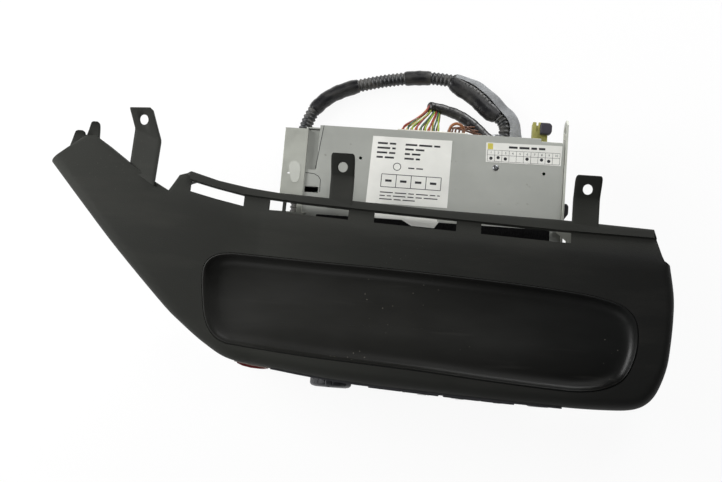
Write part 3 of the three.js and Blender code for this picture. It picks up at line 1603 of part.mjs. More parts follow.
// The sockets and plugs on the rear panel
const socketRear = halfDepth + socketProud;
const plugRear = socketRear + gap + plugDepth;

function makeRadioSocket() {
  const socketDepth = 13;
  const wellDeep = 8;
  const noseDeep = 6;
  const plugMargin = 1;
  const latch = [-8, 4];
  const latchRise = 2.2;
  const latchSink = 2;
  const socket = block(socketSpan, [halfDepth - socketDepth, socketRear], socketRise);
  const well = block(
    grown(socketSpan, -socketWall),
    [halfDepth - wellDeep, socketRear + overrun],
    grown(socketRise, -socketWall),
  );
  add("radio_socket", socket.subtract(well), "white");

  const bodyRise = grown(socketRise, -2 * gap);
  const body = block(grown(socketSpan, -plugMargin), [socketRear + gap, plugRear], bodyRise);
  const noseInset = -socketWall - gap;
  const nose = block(
    grown(socketSpan, noseInset),
    [halfDepth - noseDeep, socketRear + 2 * gap],
    grown(socketRise, noseInset),
  );
  const latchRear = plugRear - plugMargin;
  const latchTop = socketTop + latchRise;
  const tongue = block(latch, [halfDepth + 2 * gap, latchRear], [socketTop + gap, latchTop]);
  const rootRise = [socketTop - latchSink, latchTop - plugMargin];
  const root = block(latch, [latchRear - latchSink, latchRear], rootRise);
  add("loom_plug", joined([body, nose, tongue, root]), "white");
}

function makeAerialSocket() {
  const depth = 14;
  const collar = 1;
  const barrelRadius = 5.2;
  const barrelReach = 6;
  const boreRadius = 3.9;
  const profile = [
    [0, -depth], [aerialRadius, -depth], [aerialRadius, collar], [barrelRadius, collar],
    [barrelRadius, barrelReach], [boreRadius, barrelReach], [boreRadius, -barrelReach],
    [0, -barrelReach],
  ];
  add("aerial_socket", turned(profile, [aerialOffset, halfDepth, aerialHeight], alongY, 16), "steel");
}

// The second socket stands out of the panel, with a small plug on its top
function makeAuxSocket() {
  const socketSink = 12;
  const wall = 1.4;
  const wellFrom = 10;
  const slitWidth = 1.4;
  const slitFrom = 12;
  const slitShares = [0.3, 0.7];
  const plugFront = 9.4;
  const plugLength = 8;
  const plugWidth = 8;
  const plugHeight = 5.7;
  const plugNose = 1.6;
  const plugOverlap = 5.6;
  const rear = halfDepth + auxReach;
  const shell = block(auxSpan, [halfDepth - socketSink, rear], auxRise);
  const well = block(grown(auxSpan, -wall), [halfDepth + wellFrom, rear + overrun], grown(auxRise, -wall));
  const slits = slitShares.map((share) => {
    const x = auxLeft + share * (auxRight - auxLeft);
    const slitDeep = [halfDepth + slitFrom, rear + overrun];
    return block(about(x, slitWidth), slitDeep, [auxTop - wall - gap, auxTop + overrun]);
  });
  add("aux_socket", cut(shell, [well, ...slits]), "olive");

  const left = auxRight - plugOverlap;
  const right = left + plugWidth;
  const front = halfDepth + plugFront;
  const back = front + plugLength;
  const plug = prism(
    [
      [left, front], [right - plugNose, front], [right, front + plugNose],
      [right, back - plugNose], [right - plugNose, back], [left, back],
    ],
    auxTop + gap,
    auxTop + gap + plugHeight,
  );
  add("aux_plug", plug, "plum");
}

// The loom: its points are given from the rear panel
const behindPanel = ([x, y, z]) => [x, halfDepth + y, z];
const conduitPoints = [
  [-97.8, -69, 7.6], [-97.8, -59, 7.6], [-97.8, -41, 7.6], [-97.8, -23, 7.6], [-97.8, -7, 7.3],
  [-97.8, 4, 6.4],
  [-95.6, 15.4, 5.4], [-90.2, 26.4, 5.2], [-80.2, 36, 5.2], [-66.4, 42.9, 5.2], [-51.7, 47.4, 5.2],
  [-35.8, 51, 5.2], [-18, 53.7, 5.2], [-2, 54, 5.2], [12, 52.3, 5.2], [23.2, 47.8, 5.2],
  [32.8, 40.8, 5.2], [40, 33.4, 5.2], [45.2, 27.6, 5.2], [48.8, 23.8, 5.2], [50.4, 20, 5.5],
  [50.4, 15.4, 5.6], [50.4, 10.9, 5.6],
].map(behindPanel);
const bundlePoints = [
  [-6.4, 31.4, 9.4], [-3, 31.6, 7.4], [2, 31.2, 5.8], [8, 29.9, 4.9], [15, 27.6, 4.9], [22, 23.8, 5],
  [28.6, 18.8, 5.1], [34, 13.6, 5.3], [38.4, 9.8, 5.4], [41, 8.2, 5.5], [43.3, 7.6, 5.6],
].map(behindPanel);
const junctionLeft = 44.1;
const junctionRight = 57.6;
const junctionFront = halfDepth + 3;
const junctionFace = halfDepth + 10.6;
const junctionHeight = 11.4;
const tapedShares = [[0.365, 0.48], [0.63, 0.705], [0.785, 0.915]];

// A ribbed conduit with its bore, smooth and thicker where it is taped
function makeConduit() {
  const sides = 8;
  const curve = curveThrough(conduitPoints);
  const length = curve.getLength();
  const straight = 2 * conduitRadius;
  const ribs = Math.min(200, Math.floor((length - 2 * straight) / ribPitch));
  const first = (length - ribs * ribPitch) / 2;
  const ringAt = (distance, radius) => ringOn(curve, distance / length, [radius, radius], sides);
  const isTaped = (distance) => {
    const share = distance / length;
    return tapedShares.some(([from, to]) => share > from && share < to);
  };
  const outer = [ringAt(0, conduitRadius)];
  for (let i = 0; i < ribs; i++) {
    const crest = first + (i + 1 / 4) * ribPitch;
    if (isTaped(crest)) {
      if (i % 4 === 0) outer.push(ringAt(crest, conduitRadius + tapeBuild));
      continue;
    }
    outer.push(ringAt(crest, conduitRadius));
    outer.push(ringAt(crest + ribPitch / 2, conduitRadius - conduitGroove));
  }
  outer.push(ringAt(first + (ribs + 1 / 4) * ribPitch, conduitRadius));
  outer.push(ringAt(length, conduitRadius));
  const boreSteps = Math.ceil(ribs / 5);
  const bore = [];
  for (let i = 0; i <= boreSteps; i++) bore.push(ringAt((length * i) / boreSteps, conduitBore));
  add("loom_conduit", tubeWall(outer, bore), "loom");
}

// The taped bundle that swells towards the junction, with the loose wires that enter it
function makeBundle() {
  const wireSpread = 26;
  const wireInset = 4;
  const upperDrop = 4.5;
  const lowerDrop = 12.5;
  const wireRun = 3.5;
  const curve = curveThrough(bundlePoints);
  const steps = 16;
  const rings = Array.from({ length: steps + 1 }, (_, i) => {
    const radius = bundleThin + ((bundleThick - bundleThin) * i) / steps;
    return ringOn(curve, i / steps, [radius, radius], 8);
  });
  const [tip, inner] = [bundlePoints[0], bundlePoints[1]];
  const wires = Array.from({ length: wireCount }, (_, i) => {
    const share = i / (wireCount - 1);
    const upper = i % 2;
    const x = socketSpan[0] + wireInset + wireSpread * share;
    const z = socketTop - (upper ? upperDrop : lowerDrop);
    const end = [
      tip[0] + (inner[0] - tip[0]) * 3 * share,
      tip[1] - wireRadius / 2,
      tip[2] + (upper ? -wireRadius : -3 * wireRadius) - bundleThin * share / 2,
    ];
    const between = (run, fall) => [x + (end[0] - x) * run, z + (end[2] - z) * fall];
    const [x1, z1] = between(0.45, 0.4);
    const [x2, z2] = between(0.8, 0.8);
    const points = [
      [x, plugRear + gap, z],
      [x, plugRear + wireRun, z],
      [x1, plugRear + 3 * wireRun, z1],
      [x2, plugRear + 5 * wireRun, z2],
      end,
    ];
    return tube(curveThrough(points), wireRadius, 6, 5);
  });
  add("loom_bundle", joined([loft(rings), ...wires]), "tape");
}

// A short loop of wire that bridges two ways of the loom plug
function makeLoopWire() {
  const loopRadius = 1.1;
  const loopWidth = 10;
  const loopReach = 7.1;
  const loopHeight = 24;
  const loopMiddle = 15;
  const loopShares = [
    [-0.5, 0, 0], [-0.5, 0.38, 0], [-0.36, 0.8, 0.1], [0, 1, 0.2], [0.36, 0.8, 0.1], [0.5, 0.38, -0.2],
    [0.5, 0, -0.2],
  ];
  const points = scaled(loopShares, loopWidth, loopReach, loopWidth).map(([x, y, z]) => [
    loopMiddle + x,
    plugRear + gap + y,
    loopHeight + z,
  ]);
  add("loop_wire", tube(curveThrough(points), loopRadius, 12, 6), "wire");
}

// The foam tape along the outer side of the conduit's right leg, clear of it by a running gap
function makeFoam() {
  const steps = 10;
  const path = curveThrough(foamPoints);
  const rings = Array.from({ length: steps + 1 }, (_, i) => {
    const swell = along(foamSwellShares, i / steps);
    return ringOn(path, i / steps, [foamWide * swell, foamTall], 12);
  });
  const sides = 10;
  const clear = (conduitRadius + tapeBuild + 2 * gap) / Math.cos(Math.PI / sides);
  const conduit = tube(curveThrough(conduitPoints), clear, 52, sides);
  add("foam_wrap", loft(rings).subtract(conduit), "foam");
}

const foamPoints = [
  [12.6, 54.6, 5.8], [21, 52.2, 5.8], [29.4, 47.6, 5.8], [37.6, 40.6, 5.8], [45.4, 33, 5.8],
  [52.4, 25.4, 5.8], [57.6, 18.6, 5.8], [60.6, 13.4, 5.8],
].map(behindPanel);
const foamSwellShares = [[0, 0.55], [0.3, 0.9], [1, 1.15]];
const foamWide = 5;
const foamTall = 5.2;

// The moulded junction at the right rear, where the bundle and the conduit end
function makeJunction() {
  const corner = 2;
  const junctionLow = 0.4;
  const rear = halfDepth + corner;
  const plan = [
    [junctionLeft, junctionFront],
    [junctionLeft + corner, rear],
    [junctionRight - corner, rear],
    [junctionRight, junctionFront],
    [junctionRight, junctionFace - corner],
    [junctionRight - corner, junctionFace],
    [junctionLeft + corner, junctionFace],
    [junctionLeft, junctionFace - corner],
  ];
  add("loom_junction", prism(plan, junctionLow, junctionHeight), "black");
}

// The clip that holds the conduit to the left bracket, and the branch plug at its front end
function makeClip() {
  const clipDepth = 6;
  const clipWall = 1.4;
  const legWall = 1.2;
  const legTop = 24;
  const clipBack = 29;
  const clipY = halfDepth - clipBack;
  const [x, front, z] = conduitPoints[0];
  const inner = conduitRadius + gap;
  const outer = inner + clipWall;
  const ringShape = [
    [inner, -clipDepth / 2], [outer, -clipDepth / 2], [outer, clipDepth / 2], [inner, clipDepth / 2],
    [inner, -clipDepth / 2],
  ];
  const ring = turned(ringShape, [x, clipY, z], alongY, 20);
  const face = -halfWidth - 2 * gap - bracketSheet;
  const padLow = z + inner + gap / 3;
  const pad = block([x, face], about(clipY, clipDepth), [padLow, z + outer + gap]);
  const leg = block([face - legWall, face], about(clipY, clipDepth), [padLow, legTop]);
  add("loom_clip", joined([ring, pad, leg]), "black");

  const plugLength = 27.7;
  const plugLeft = 4.4;
  const plugHalf = 6;
  const ribProud = 1.2;
  const ribHalf = 2.5;
  const plugRearEnd = front - gap;
  const body = block([x - plugLeft, face], [plugRearEnd - plugLength, plugRearEnd], about(z, 2 * plugHalf));
  const ribY = [plugRearEnd - plugLength + 2 * ribHalf, plugRearEnd - 2 * plugHalf];
  const rib = block([x - plugLeft - ribProud, x - plugLeft + gap], ribY, about(z, 2 * ribHalf));
  add("branch_plug", joined([body, rib]), "white");
}

makeFascia();
makeDisplay();
makeBezel();
makeKeys();
dials.forEach(makeDial);
dials.forEach(makeEncoder);
makeControlBoard();
makeHazard();
makeTub();
makeCover();
makeFelt();
makeRearPanel();
makeHeatSink();
makeMainBoard();
makePlayerFrame();
makeDampers();
makeRoller();
makeSpindle();
makeClamp();
makeSled();
makeLeftBracket();
makeRightBracket();
bossPlaces.forEach(([x, y], i) => {
  const headHeight = screwHeadRadius * 0.6;
  makeScrew(`fascia_screw_${i ? "right" : "left"}`, [x, y, footHeight - gap - headHeight], screwLength);
});
makeBumper();
makeRadioSocket();
makeAerialSocket();
makeAuxSocket();
makeConduit();
makeBundle();
makeLoopWire();
makeFoam();
makeJunction();
makeClip();

export default part;
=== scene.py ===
"""A car radio with its dashboard fascia, dressed for a photograph taken from above.

Metres, +Z up, +Y from the control face to the rear panel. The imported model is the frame: its nodes
keep their shape and place, and what needs a finer surface is rebuilt here and stands for its node.
"""

import json
import math
import random

import bmesh
import bpy
import numpy as np
from mathutils import Matrix, Vector

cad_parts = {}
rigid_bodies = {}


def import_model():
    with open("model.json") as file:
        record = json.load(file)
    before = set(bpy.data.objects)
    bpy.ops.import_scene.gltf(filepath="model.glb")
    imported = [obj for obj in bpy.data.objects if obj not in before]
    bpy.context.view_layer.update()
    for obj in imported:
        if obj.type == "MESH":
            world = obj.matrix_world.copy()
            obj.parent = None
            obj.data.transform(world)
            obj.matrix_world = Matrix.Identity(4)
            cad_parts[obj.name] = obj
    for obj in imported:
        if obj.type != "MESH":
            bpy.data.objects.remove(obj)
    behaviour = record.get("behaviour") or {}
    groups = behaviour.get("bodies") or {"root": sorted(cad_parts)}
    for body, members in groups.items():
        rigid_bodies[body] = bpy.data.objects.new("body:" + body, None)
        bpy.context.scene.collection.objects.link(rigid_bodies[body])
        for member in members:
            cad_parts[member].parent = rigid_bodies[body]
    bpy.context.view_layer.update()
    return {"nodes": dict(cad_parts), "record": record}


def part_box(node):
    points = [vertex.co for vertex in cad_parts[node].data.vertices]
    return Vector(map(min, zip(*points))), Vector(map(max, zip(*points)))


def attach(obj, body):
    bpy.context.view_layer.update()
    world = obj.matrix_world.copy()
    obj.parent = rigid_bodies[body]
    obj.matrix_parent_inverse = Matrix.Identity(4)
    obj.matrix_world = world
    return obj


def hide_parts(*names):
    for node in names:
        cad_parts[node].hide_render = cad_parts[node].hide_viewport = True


MM = 0.001

for start_object in list(bpy.data.objects):
    bpy.data.objects.remove(start_object)
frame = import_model()
nodes = frame["nodes"]
record = frame["record"]
body_of_node = {node: body for body, names in record["behaviour"]["bodies"].items() for node in names}
slot_of_node = {row["node"]: row["material_slot"] for row in record["subparts"]}

# Camera, solved from the cover's edges in the photograph
CAMERA_PLACE = (0.0125, -0.0958, 0.7254)
CAMERA_RIGHT = (0.9939, 0.0825, -0.0729)
CAMERA_UP = (-0.0715, 0.9872, 0.1424)
CAMERA_BACK = (0.0837, -0.1363, 0.9871)
FOCAL_PIXELS = 999.0
PHOTO_WIDTH = 722
SENSOR_MM = 36.0


def make_camera():
    data = bpy.data.cameras.new("camera")
    data.sensor_fit = "HORIZONTAL"
    data.sensor_width = SENSOR_MM
    data.lens = FOCAL_PIXELS * SENSOR_MM / PHOTO_WIDTH
    data.clip_start = 0.01
    camera = bpy.data.objects.new("camera", data)
    right, up, back = (Vector(v) for v in (CAMERA_RIGHT, CAMERA_UP, CAMERA_BACK))
    turn = Matrix((right, up, back)).transposed()
    camera.matrix_world = Matrix.Translation(CAMERA_PLACE) @ turn.to_4x4()
    scene = bpy.context.scene
    scene.collection.objects.link(camera)
    scene.camera = camera
    scene.view_settings.view_transform = "Standard"


make_camera()


# Finishes

class Signal:
    """A number that varies over a surface. Sums and products of it add their Math nodes."""

    def __init__(self, tree, socket):
        self.tree = tree
        self.socket = socket

    def combine(self, operation, other):
        node = self.tree.nodes.new("ShaderNodeMath")
        node.operation = operation
        fill(self.tree, node.inputs[0], self)
        fill(self.tree, node.inputs[1], other)
        return Signal(self.tree, node.outputs[0])

    def __add__(self, other):
        return self.combine("ADD", other)

    def __sub__(self, other):
        return self.combine("SUBTRACT", other)

    def __mul__(self, other):
        return self.combine("MULTIPLY", other)

    __radd__ = __add__
    __rmul__ = __mul__


def fill(tree, place, value):
    """Links a signal or a socket to a place, or sets a plain value there."""
    source = value.socket if isinstance(value, Signal) else value
    if isinstance(source, bpy.types.NodeSocket):
        tree.links.new(source, place)
    else:
        place.default_value = source


class Finish:
    """One material: a shader with its plain settings, and what varies over the surface."""

    def __init__(self, name, colour, roughness, **settings):
        self.material = bpy.data.materials.new(name)
        self.material.use_nodes = True
        self.tree = self.material.node_tree
        self.shader = self.tree.nodes["Principled BSDF"]
        self.coordinates = self.node("ShaderNodeTexCoord").outputs["Object"]
        for socket, value in {"Base_Color": (*colour, 1), "Roughness": roughness, **settings}.items():
            self.shader.inputs[socket.replace("_", " ")].default_value = value

    def node(self, kind, settings=None, **sockets):
        node = self.tree.nodes.new(kind)
        for name, value in (settings or {}).items():
            setattr(node, name, value)
        for name, value in sockets.items():
            fill(self.tree, node.inputs[name.replace("_", " ")], value)
        return node

    def placed(self, stretch=(1, 1, 1), place=(0, 0, 0), turn=(0, 0, 0)):
        mapping = self.node(
            "ShaderNodeMapping", Vector=self.coordinates, Location=place, Rotation=turn, Scale=stretch
        )
        return mapping.outputs["Vector"]

    def noise(self, per_metre, detail=3.0, roughness=0.55, **placing):
        vector = self.placed(**placing)
        node = self.node(
            "ShaderNodeTexNoise", Vector=vector, Scale=per_metre, Detail=detail, Roughness=roughness
        )
        return Signal(self.tree, node.outputs["Fac"])

    def cells(self, per_metre, feature="F1", output="Distance", **placing):
        vector = self.placed(**placing)
        node = self.node("ShaderNodeTexVoronoi", {"feature": feature}, Vector=vector, Scale=per_metre)
        return Signal(self.tree, node.outputs[output])

    def axis(self, letter, vector=None):
        node = self.node("ShaderNodeSeparateXYZ", Vector=vector or self.coordinates)
        return Signal(self.tree, node.outputs[letter])

    def ramp(self, signal, low, high):
        node = self.node("ShaderNodeMapRange", {"clamp": True}, Value=signal, From_Min=low, From_Max=high)
        return Signal(self.tree, node.outputs["Result"])

    def blend(self, factor, first, second, way="MIX"):
        settings = {"data_type": "RGBA", "blend_type": way, "clamp_factor": True}
        node = self.node("ShaderNodeMix", settings, Factor=factor)
        for place, value in ((node.inputs[6], first), (node.inputs[7], second)):
            fill(self.tree, place, (*value, 1) if isinstance(value, tuple) else value)
        return node.outputs[2]

    def clouded(self, signal, low, high, colour, dark, light):
        """A colour between a darker and a lighter shade of itself."""
        return self.blend(self.ramp(signal, low, high), shifted(colour, dark), shifted(colour, light))

    def paint(self, colour):
        self.tree.links.new(colour, self.shader.inputs["Base Color"])

    def gloss(self, roughness):
        roughness.socket.node.use_clamp = True
        self.tree.links.new(roughness.socket, self.shader.inputs["Roughness"])

    def relief(self, height, distance, strength):
        bump = self.node("ShaderNodeBump", Height=height, Distance=distance, Strength=strength)
        self.tree.links.new(bump.outputs["Normal"], self.shader.inputs["Normal"])


def tone(red, green, blue):
    """A colour as the photograph has it, from 0 to 255, made linear."""
    shares = (red / 255, green / 255, blue / 255)
    return tuple(c / 12.92 if c <= 0.04 else ((c + 0.055) / 1.055) ** 2.4 for c in shares)


def shifted(colour, factor):
    return tuple(min(1.0, c * factor) for c in colour)


def moulding_finish():
    base = tone(39, 40, 36)
    finish = Finish("grained_moulding", base, 0.62, Specular_IOR_Level=0.3)
    cloud = finish.noise(9, 3, place=(0.3, 0.1, 0))
    colour = finish.clouded(cloud, 0.35, 0.7, base, 0.82, 1.16)
    # Painted shade: ahead of the rail the colour darkens towards the right end, standing in for the light
    # falling off there; the wing and the rail keep the lighter colour
    shade_towards_right = finish.ramp(finish.axis("X"), -0.1, 0.13) * finish.ramp(finish.axis("Y"), 0.004, -0.004)
    colour = finish.blend(shade_towards_right, colour, (0.34, 0.34, 0.36), "MULTIPLY")
    # Old dust lies where the surface faces up, in long wiped streaks
    normal = finish.node("ShaderNodeNewGeometry").outputs["Normal"]
    upward = finish.ramp(finish.axis("Z", normal), 0.75, 1.0)
    streaks = finish.noise(26, 4, 0.6, stretch=(0.35, 1.6, 1), turn=(0, 0, 0.35))
    dust = finish.ramp(streaks, 0.5, 0.8) * upward * 0.035
    colour = finish.blend(dust, colour, tone(150, 146, 136))
    specks = finish.ramp(finish.cells(330, place=(0.01, 0.02, 0)), 0.11, 0.07)
    sparse = finish.ramp(finish.noise(17, 2, place=(0.5, 0, 0)), 0.6, 0.68)
    colour = finish.blend(specks * sparse * upward * 0.12, colour, tone(150, 146, 138))
    lines = finish.noise(120, 2, 0.5, stretch=(0.05, 1, 1), turn=(0, 0, 0.5))
    scratches = finish.ramp(lines, 0.71, 0.75)
    finish.paint(finish.blend(scratches * 0.03, colour, tone(140, 138, 130)))
    finish.gloss(0.6 + 0.16 * finish.ramp(cloud, 0.3, 0.7) - 0.1 * scratches)
    finish.relief(finish.cells(1400) + 0.5 * finish.noise(2600, 2), 0.00012, 0.35)
    return finish.material


def lens_finish():
    base = tone(45, 45, 43)
    finish = Finish("smoked_lens", base, 0.34, Specular_IOR_Level=0.22)
    haze = finish.noise(12, 4, 0.6, stretch=(0.5, 1.3, 1), place=(0.2, 0.7, 0))
    colour = finish.clouded(haze, 0.38, 0.7, base, 0.82, 1.22)
    # Painted shade: darker towards the right and towards the front, standing in for the light falling off
    # to the right and toning down the lit front slope
    lens_shade_rightwards = finish.ramp(finish.axis("X"), -0.01, 0.12)
    lens_shade_nearer = finish.ramp(finish.axis("Y"), -0.064, -0.084)
    colour = finish.blend(lens_shade_rightwards, colour, (0.42, 0.44, 0.46), "MULTIPLY")
    colour = finish.blend(lens_shade_nearer, colour, (0.32, 0.32, 0.3), "MULTIPLY")
    rub = finish.ramp(finish.noise(220, 3, 0.6, stretch=(0.06, 1, 1), turn=(0, 0, 0.15)), 0.62, 0.75)
    colour = finish.blend(rub * 0.04, colour, tone(110, 108, 102))
    specks = finish.ramp(finish.cells(260, place=(0.04, 0.01, 0)), 0.1, 0.06)
    sparse = finish.ramp(finish.noise(22, 2, place=(0.1, 0.4, 0)), 0.52, 0.64)
    finish.paint(finish.blend(specks * sparse * 0.5, colour, tone(165, 160, 150)))
    finish.gloss(0.3 + 0.22 * finish.ramp(haze, 0.35, 0.7) + 0.12 * rub)
    finish.relief(finish.noise(900, 2), 0.00006, 0.2)
    return finish.material


def plated_finish(name, rgb, roughness, spangle):
    colour = tone(*rgb)
    finish = Finish(name, colour, roughness, Metallic=0.85)
    flakes = finish.cells(spangle, output="Color")
    smudge = finish.noise(14, 4, 0.6, place=(0.6, 0.2, 0.1))
    drawn = finish.noise(70, 3, 0.5, stretch=(0.04, 1, 1))
    paint = finish.clouded(smudge, 0.35, 0.72, colour, 0.88, 1.1)
    paint = finish.blend(finish.ramp(drawn, 0.3, 0.7) * 0.25, paint, shifted(colour, 0.8))
    spots = finish.ramp(finish.noise(150, 2, place=(0.3, 0.3, 0.3)), 0.7, 0.76)
    finish.paint(finish.blend(spots * 0.35, paint, tone(110, 104, 90)))
    finish.gloss(roughness - 0.05 + 0.14 * finish.ramp(smudge, 0.3, 0.75) + 0.06 * flakes)
    finish.relief(drawn + 0.4 * smudge, 0.00008, 0.25)
    return finish.material


def plastic_finish(name, rgb, roughness, grain, wear):
    colour = tone(*rgb)
    finish = Finish(name, colour, roughness)
    cloud = finish.noise(60, 3)
    paint = finish.clouded(cloud, 0.35, 0.7, colour, 0.88, 1.12)
    rub = finish.ramp(finish.noise(300, 3, 0.6, stretch=(0.2, 1, 1)), 0.66, 0.76)
    finish.paint(finish.blend(rub * wear, paint, shifted(colour, 1.5)))
    finish.gloss(roughness - 0.06 + 0.14 * finish.ramp(cloud, 0.3, 0.7))
    finish.relief(finish.cells(grain), 0.00006, 0.25)
    return finish.material


def stained_finish(name, colour, stain, roughness, dirt, stained, dulled, **settings):
    """A finish that turns to its stain and dulls with dirt. Returns the dirt too, as a signal."""
    finish = Finish(name, colour, roughness, **settings)
    spread = finish.noise(*dirt)
    finish.paint(finish.blend(finish.ramp(spread, *stained), colour, stain))
    least, more, low, high = dulled
    finish.gloss(least + more * finish.ramp(spread, low, high))
    return finish, spread


def steel_finish(name, rgb, roughness):
    colour = tone(*rgb)
    finish = Finish(name, colour, roughness, Metallic=1.0)
    stain = finish.noise(180, 3)
    finish.paint(finish.clouded(stain, 0.4, 0.7, colour, 0.8, 1.1))
    finish.gloss(roughness - 0.06 + 0.18 * finish.ramp(stain, 0.3, 0.7))
    finish.relief(finish.noise(1200, 2, 0.5, stretch=(1, 1, 0.1)), 0.00004, 0.3)
    return finish.material


def wire_finish(name, rgb):
    colour = tone(*rgb)
    finish, _ = stained_finish(
        f"wire_{name}", colour, shifted(colour, 0.6), 0.4,
        dirt=(160, 3), stained=(0.45, 0.75), dulled=(0.32, 0.2, 0.3, 0.7),
    )
    return finish.material


def rubber_finish():
    base = tone(30, 30, 32)
    finish, _ = stained_finish(
        "soft_rubber", base, shifted(base, 1.7), 0.8,
        dirt=(90, 4, 0.6), stained=(0.45, 0.75), dulled=(0.7, 0.2, 0.3, 0.7), Specular_IOR_Level=0.3,
    )
    finish.relief(finish.noise(1500, 3), 0.0001, 0.4)
    return finish.material


def tape_finish():
    finish, dirt = stained_finish(
        "loom_tape", tone(24, 24, 26), tone(58, 57, 54), 0.34,
        dirt=(80, 4, 0.6), stained=(0.45, 0.75), dulled=(0.26, 0.24, 0.35, 0.7),
    )
    finish.relief(finish.noise(500, 3, 0.6, stretch=(1, 0.3, 1)) + 0.6 * dirt, 0.00025, 0.45)
    return finish.material


def conduit_finish():
    finish, _ = stained_finish(
        "ribbed_conduit", tone(33, 35, 37), tone(92, 90, 86), 0.45,
        dirt=(110, 4, 0.6), stained=(0.42, 0.74), dulled=(0.38, 0.26, 0.35, 0.7),
    )
    finish.relief(finish.noise(900, 3), 0.0001, 0.3)
    return finish.material


def foam_finish():
    base = tone(152, 154, 156)
    finish = Finish("foam_tape", base, 0.95, Specular_IOR_Level=0.15)
    pores = finish.cells(900)
    grime = finish.noise(60, 4, 0.6)
    colour = finish.blend(finish.ramp(grime, 0.4, 0.75), base, tone(112, 113, 114))
    finish.paint(finish.blend(finish.ramp(pores, 0.2, 0.05) * 0.5, colour, tone(96, 98, 102)))
    finish.relief(pores + 0.7 * grime, 0.0004, 0.6)
    return finish.material


def felt_finish():
    base = tone(13, 13, 14)
    finish = Finish("dust_felt", base, 1.0, Specular_IOR_Level=0.1)
    fibres = finish.noise(1400, 4, 0.7, stretch=(1, 0.3, 1))
    finish.paint(finish.blend(finish.ramp(fibres, 0.4, 0.7), base, tone(27, 27, 27)))
    finish.relief(fibres, 0.0003, 0.6)
    return finish.material


def board_finish():
    base = tone(28, 92, 58)
    finish = Finish("solder_resist", base, 0.42)
    tracks = finish.ramp(finish.cells(190, "DISTANCE_TO_EDGE", stretch=(1, 1.7, 1)), 0.05, 0.03)
    pads = finish.ramp(finish.cells(420, stretch=(1, 1, 0.01)), 0.16, 0.13)
    colour = finish.blend(tracks * 0.6, base, tone(52, 128, 84))
    finish.paint(finish.blend(pads * 0.8, colour, tone(176, 178, 170)))
    finish.relief(tracks + pads, 0.00008, 0.4)
    return finish.material


def paper_finish(name, rgb):
    base = tone(*rgb)
    finish = Finish(name, base, 0.72, Specular_IOR_Level=0.3)
    fibres = finish.noise(700, 4, 0.6)
    age = finish.noise(32, 3, 0.6, place=(0.2, 0.5, 0))
    colour = finish.blend(finish.ramp(age, 0.4, 0.75), base, shifted(base, 0.86))
    finish.paint(finish.blend(finish.ramp(fibres, 0.55, 0.8) * 0.12, colour, shifted(base, 0.7)))
    finish.relief(fibres + 2 * age, 0.0001, 0.3)
    return finish.material


finishes = {
    "moulding": moulding_finish(),
    "lens": lens_finish(),
    "bezel": plastic_finish("satin_bezel", (52, 52, 56), 0.5, 1500, 0.25),
    "key": plastic_finish("satin_key", (58, 59, 63), 0.42, 1700, 0.3),
    "hazard": plastic_finish("hazard_red", (104, 24, 20), 0.32, 1900, 0.1),
    "rim": plastic_finish("pale_rim", (150, 140, 132), 0.45, 1900, 0.1),
    "zinc": plated_finish("plated_sheet", (182, 184, 178), 0.44, 240),
    "bracket": plated_finish("plated_bracket", (194, 196, 187), 0.4, 300),
    "steel": steel_finish("turned_steel", (132, 134, 136), 0.32),
    "aluminium": steel_finish("extruded_aluminium", (196, 198, 200), 0.38),
    "board": board_finish(),
    "black": plastic_finish("moulded_black", (34, 34, 37), 0.45, 1800, 0.2),
    "rubber": rubber_finish(),
    "white": plastic_finish("connector_white", (205, 202, 190), 0.45, 1900, 0.1),
    "olive": plastic_finish("connector_olive", (150, 146, 78), 0.5, 1900, 0.2),
    "plum": plastic_finish("connector_plum", (40, 36, 47), 0.45, 1900, 0.2),
    "felt": felt_finish(),
    "foam": foam_finish(),
    "conduit": conduit_finish(),
    "wire": wire_finish("brown", (142, 90, 54)),
    "tape": tape_finish(),
    "paper": paper_finish("label_paper", (236, 236, 230)),
    "paint": paper_finish("pale_paint", (196, 198, 190)),
    "ink": paper_finish("label_ink", (52, 52, 54)),
    "print": paper_finish("key_print", (214, 214, 208)),
    "mark": paper_finish("label_mark", (208, 196, 92)),
}
WIRE_COLOURS = {
    "amber": (206, 120, 36), "lime": (150, 168, 60), "brown": (104, 66, 44),
    "green": (40, 84, 58), "yellow": (214, 186, 72), "red": (140, 44, 36),
}
wire_finishes = [wire_finish(name, rgb) for name, rgb in WIRE_COLOURS.items()]


# Making pieces

def woven(columns, rows, place):
    """A grid of faces whose corner in column i and row j lies at place(i, j), in millimetres."""
    bm = bmesh.new()
    bmesh.ops.create_grid(bm, x_segments=columns - 1, y_segments=rows - 1, size=1)
    for vert in bm.verts:
        i = round((vert.co.x + 1) / 2 * (columns - 1))
        j = round((vert.co.y + 1) / 2 * (rows - 1))
        vert.co = Vector(place(i, j)) * MM
    return bm


def closed_skin(bm, tight=0.004):
    """Closes seams and poles, and turns every face outwards."""
    bmesh.ops.remove_doubles(bm, verts=bm.verts, dist=tight * MM)
    bmesh.ops.dissolve_degenerate(bm, edges=bm.edges, dist=tight * MM)
    bmesh.ops.recalc_face_normals(bm, faces=bm.faces)
    return bm


def moved(bm, place):
    bmesh.ops.translate(bm, vec=Vector(place) * MM, verts=bm.verts)
    return bm


def turned(bm, angle, axis):
    bmesh.ops.rotate(bm, cent=(0, 0, 0), matrix=Matrix.Rotation(angle, 3, axis), verts=bm.verts)
    return bm


def block(xs, ys, zs):
    """A block between two corners in millimetres."""
    low, high = (np.array(corner, float) for corner in zip(xs, ys, zs))
    bm = bmesh.new()
    bmesh.ops.create_cube(bm, size=1)
    bmesh.ops.scale(bm, vec=Vector(high - low) * MM, verts=bm.verts)
    return moved(bm, (low + high) / 2)


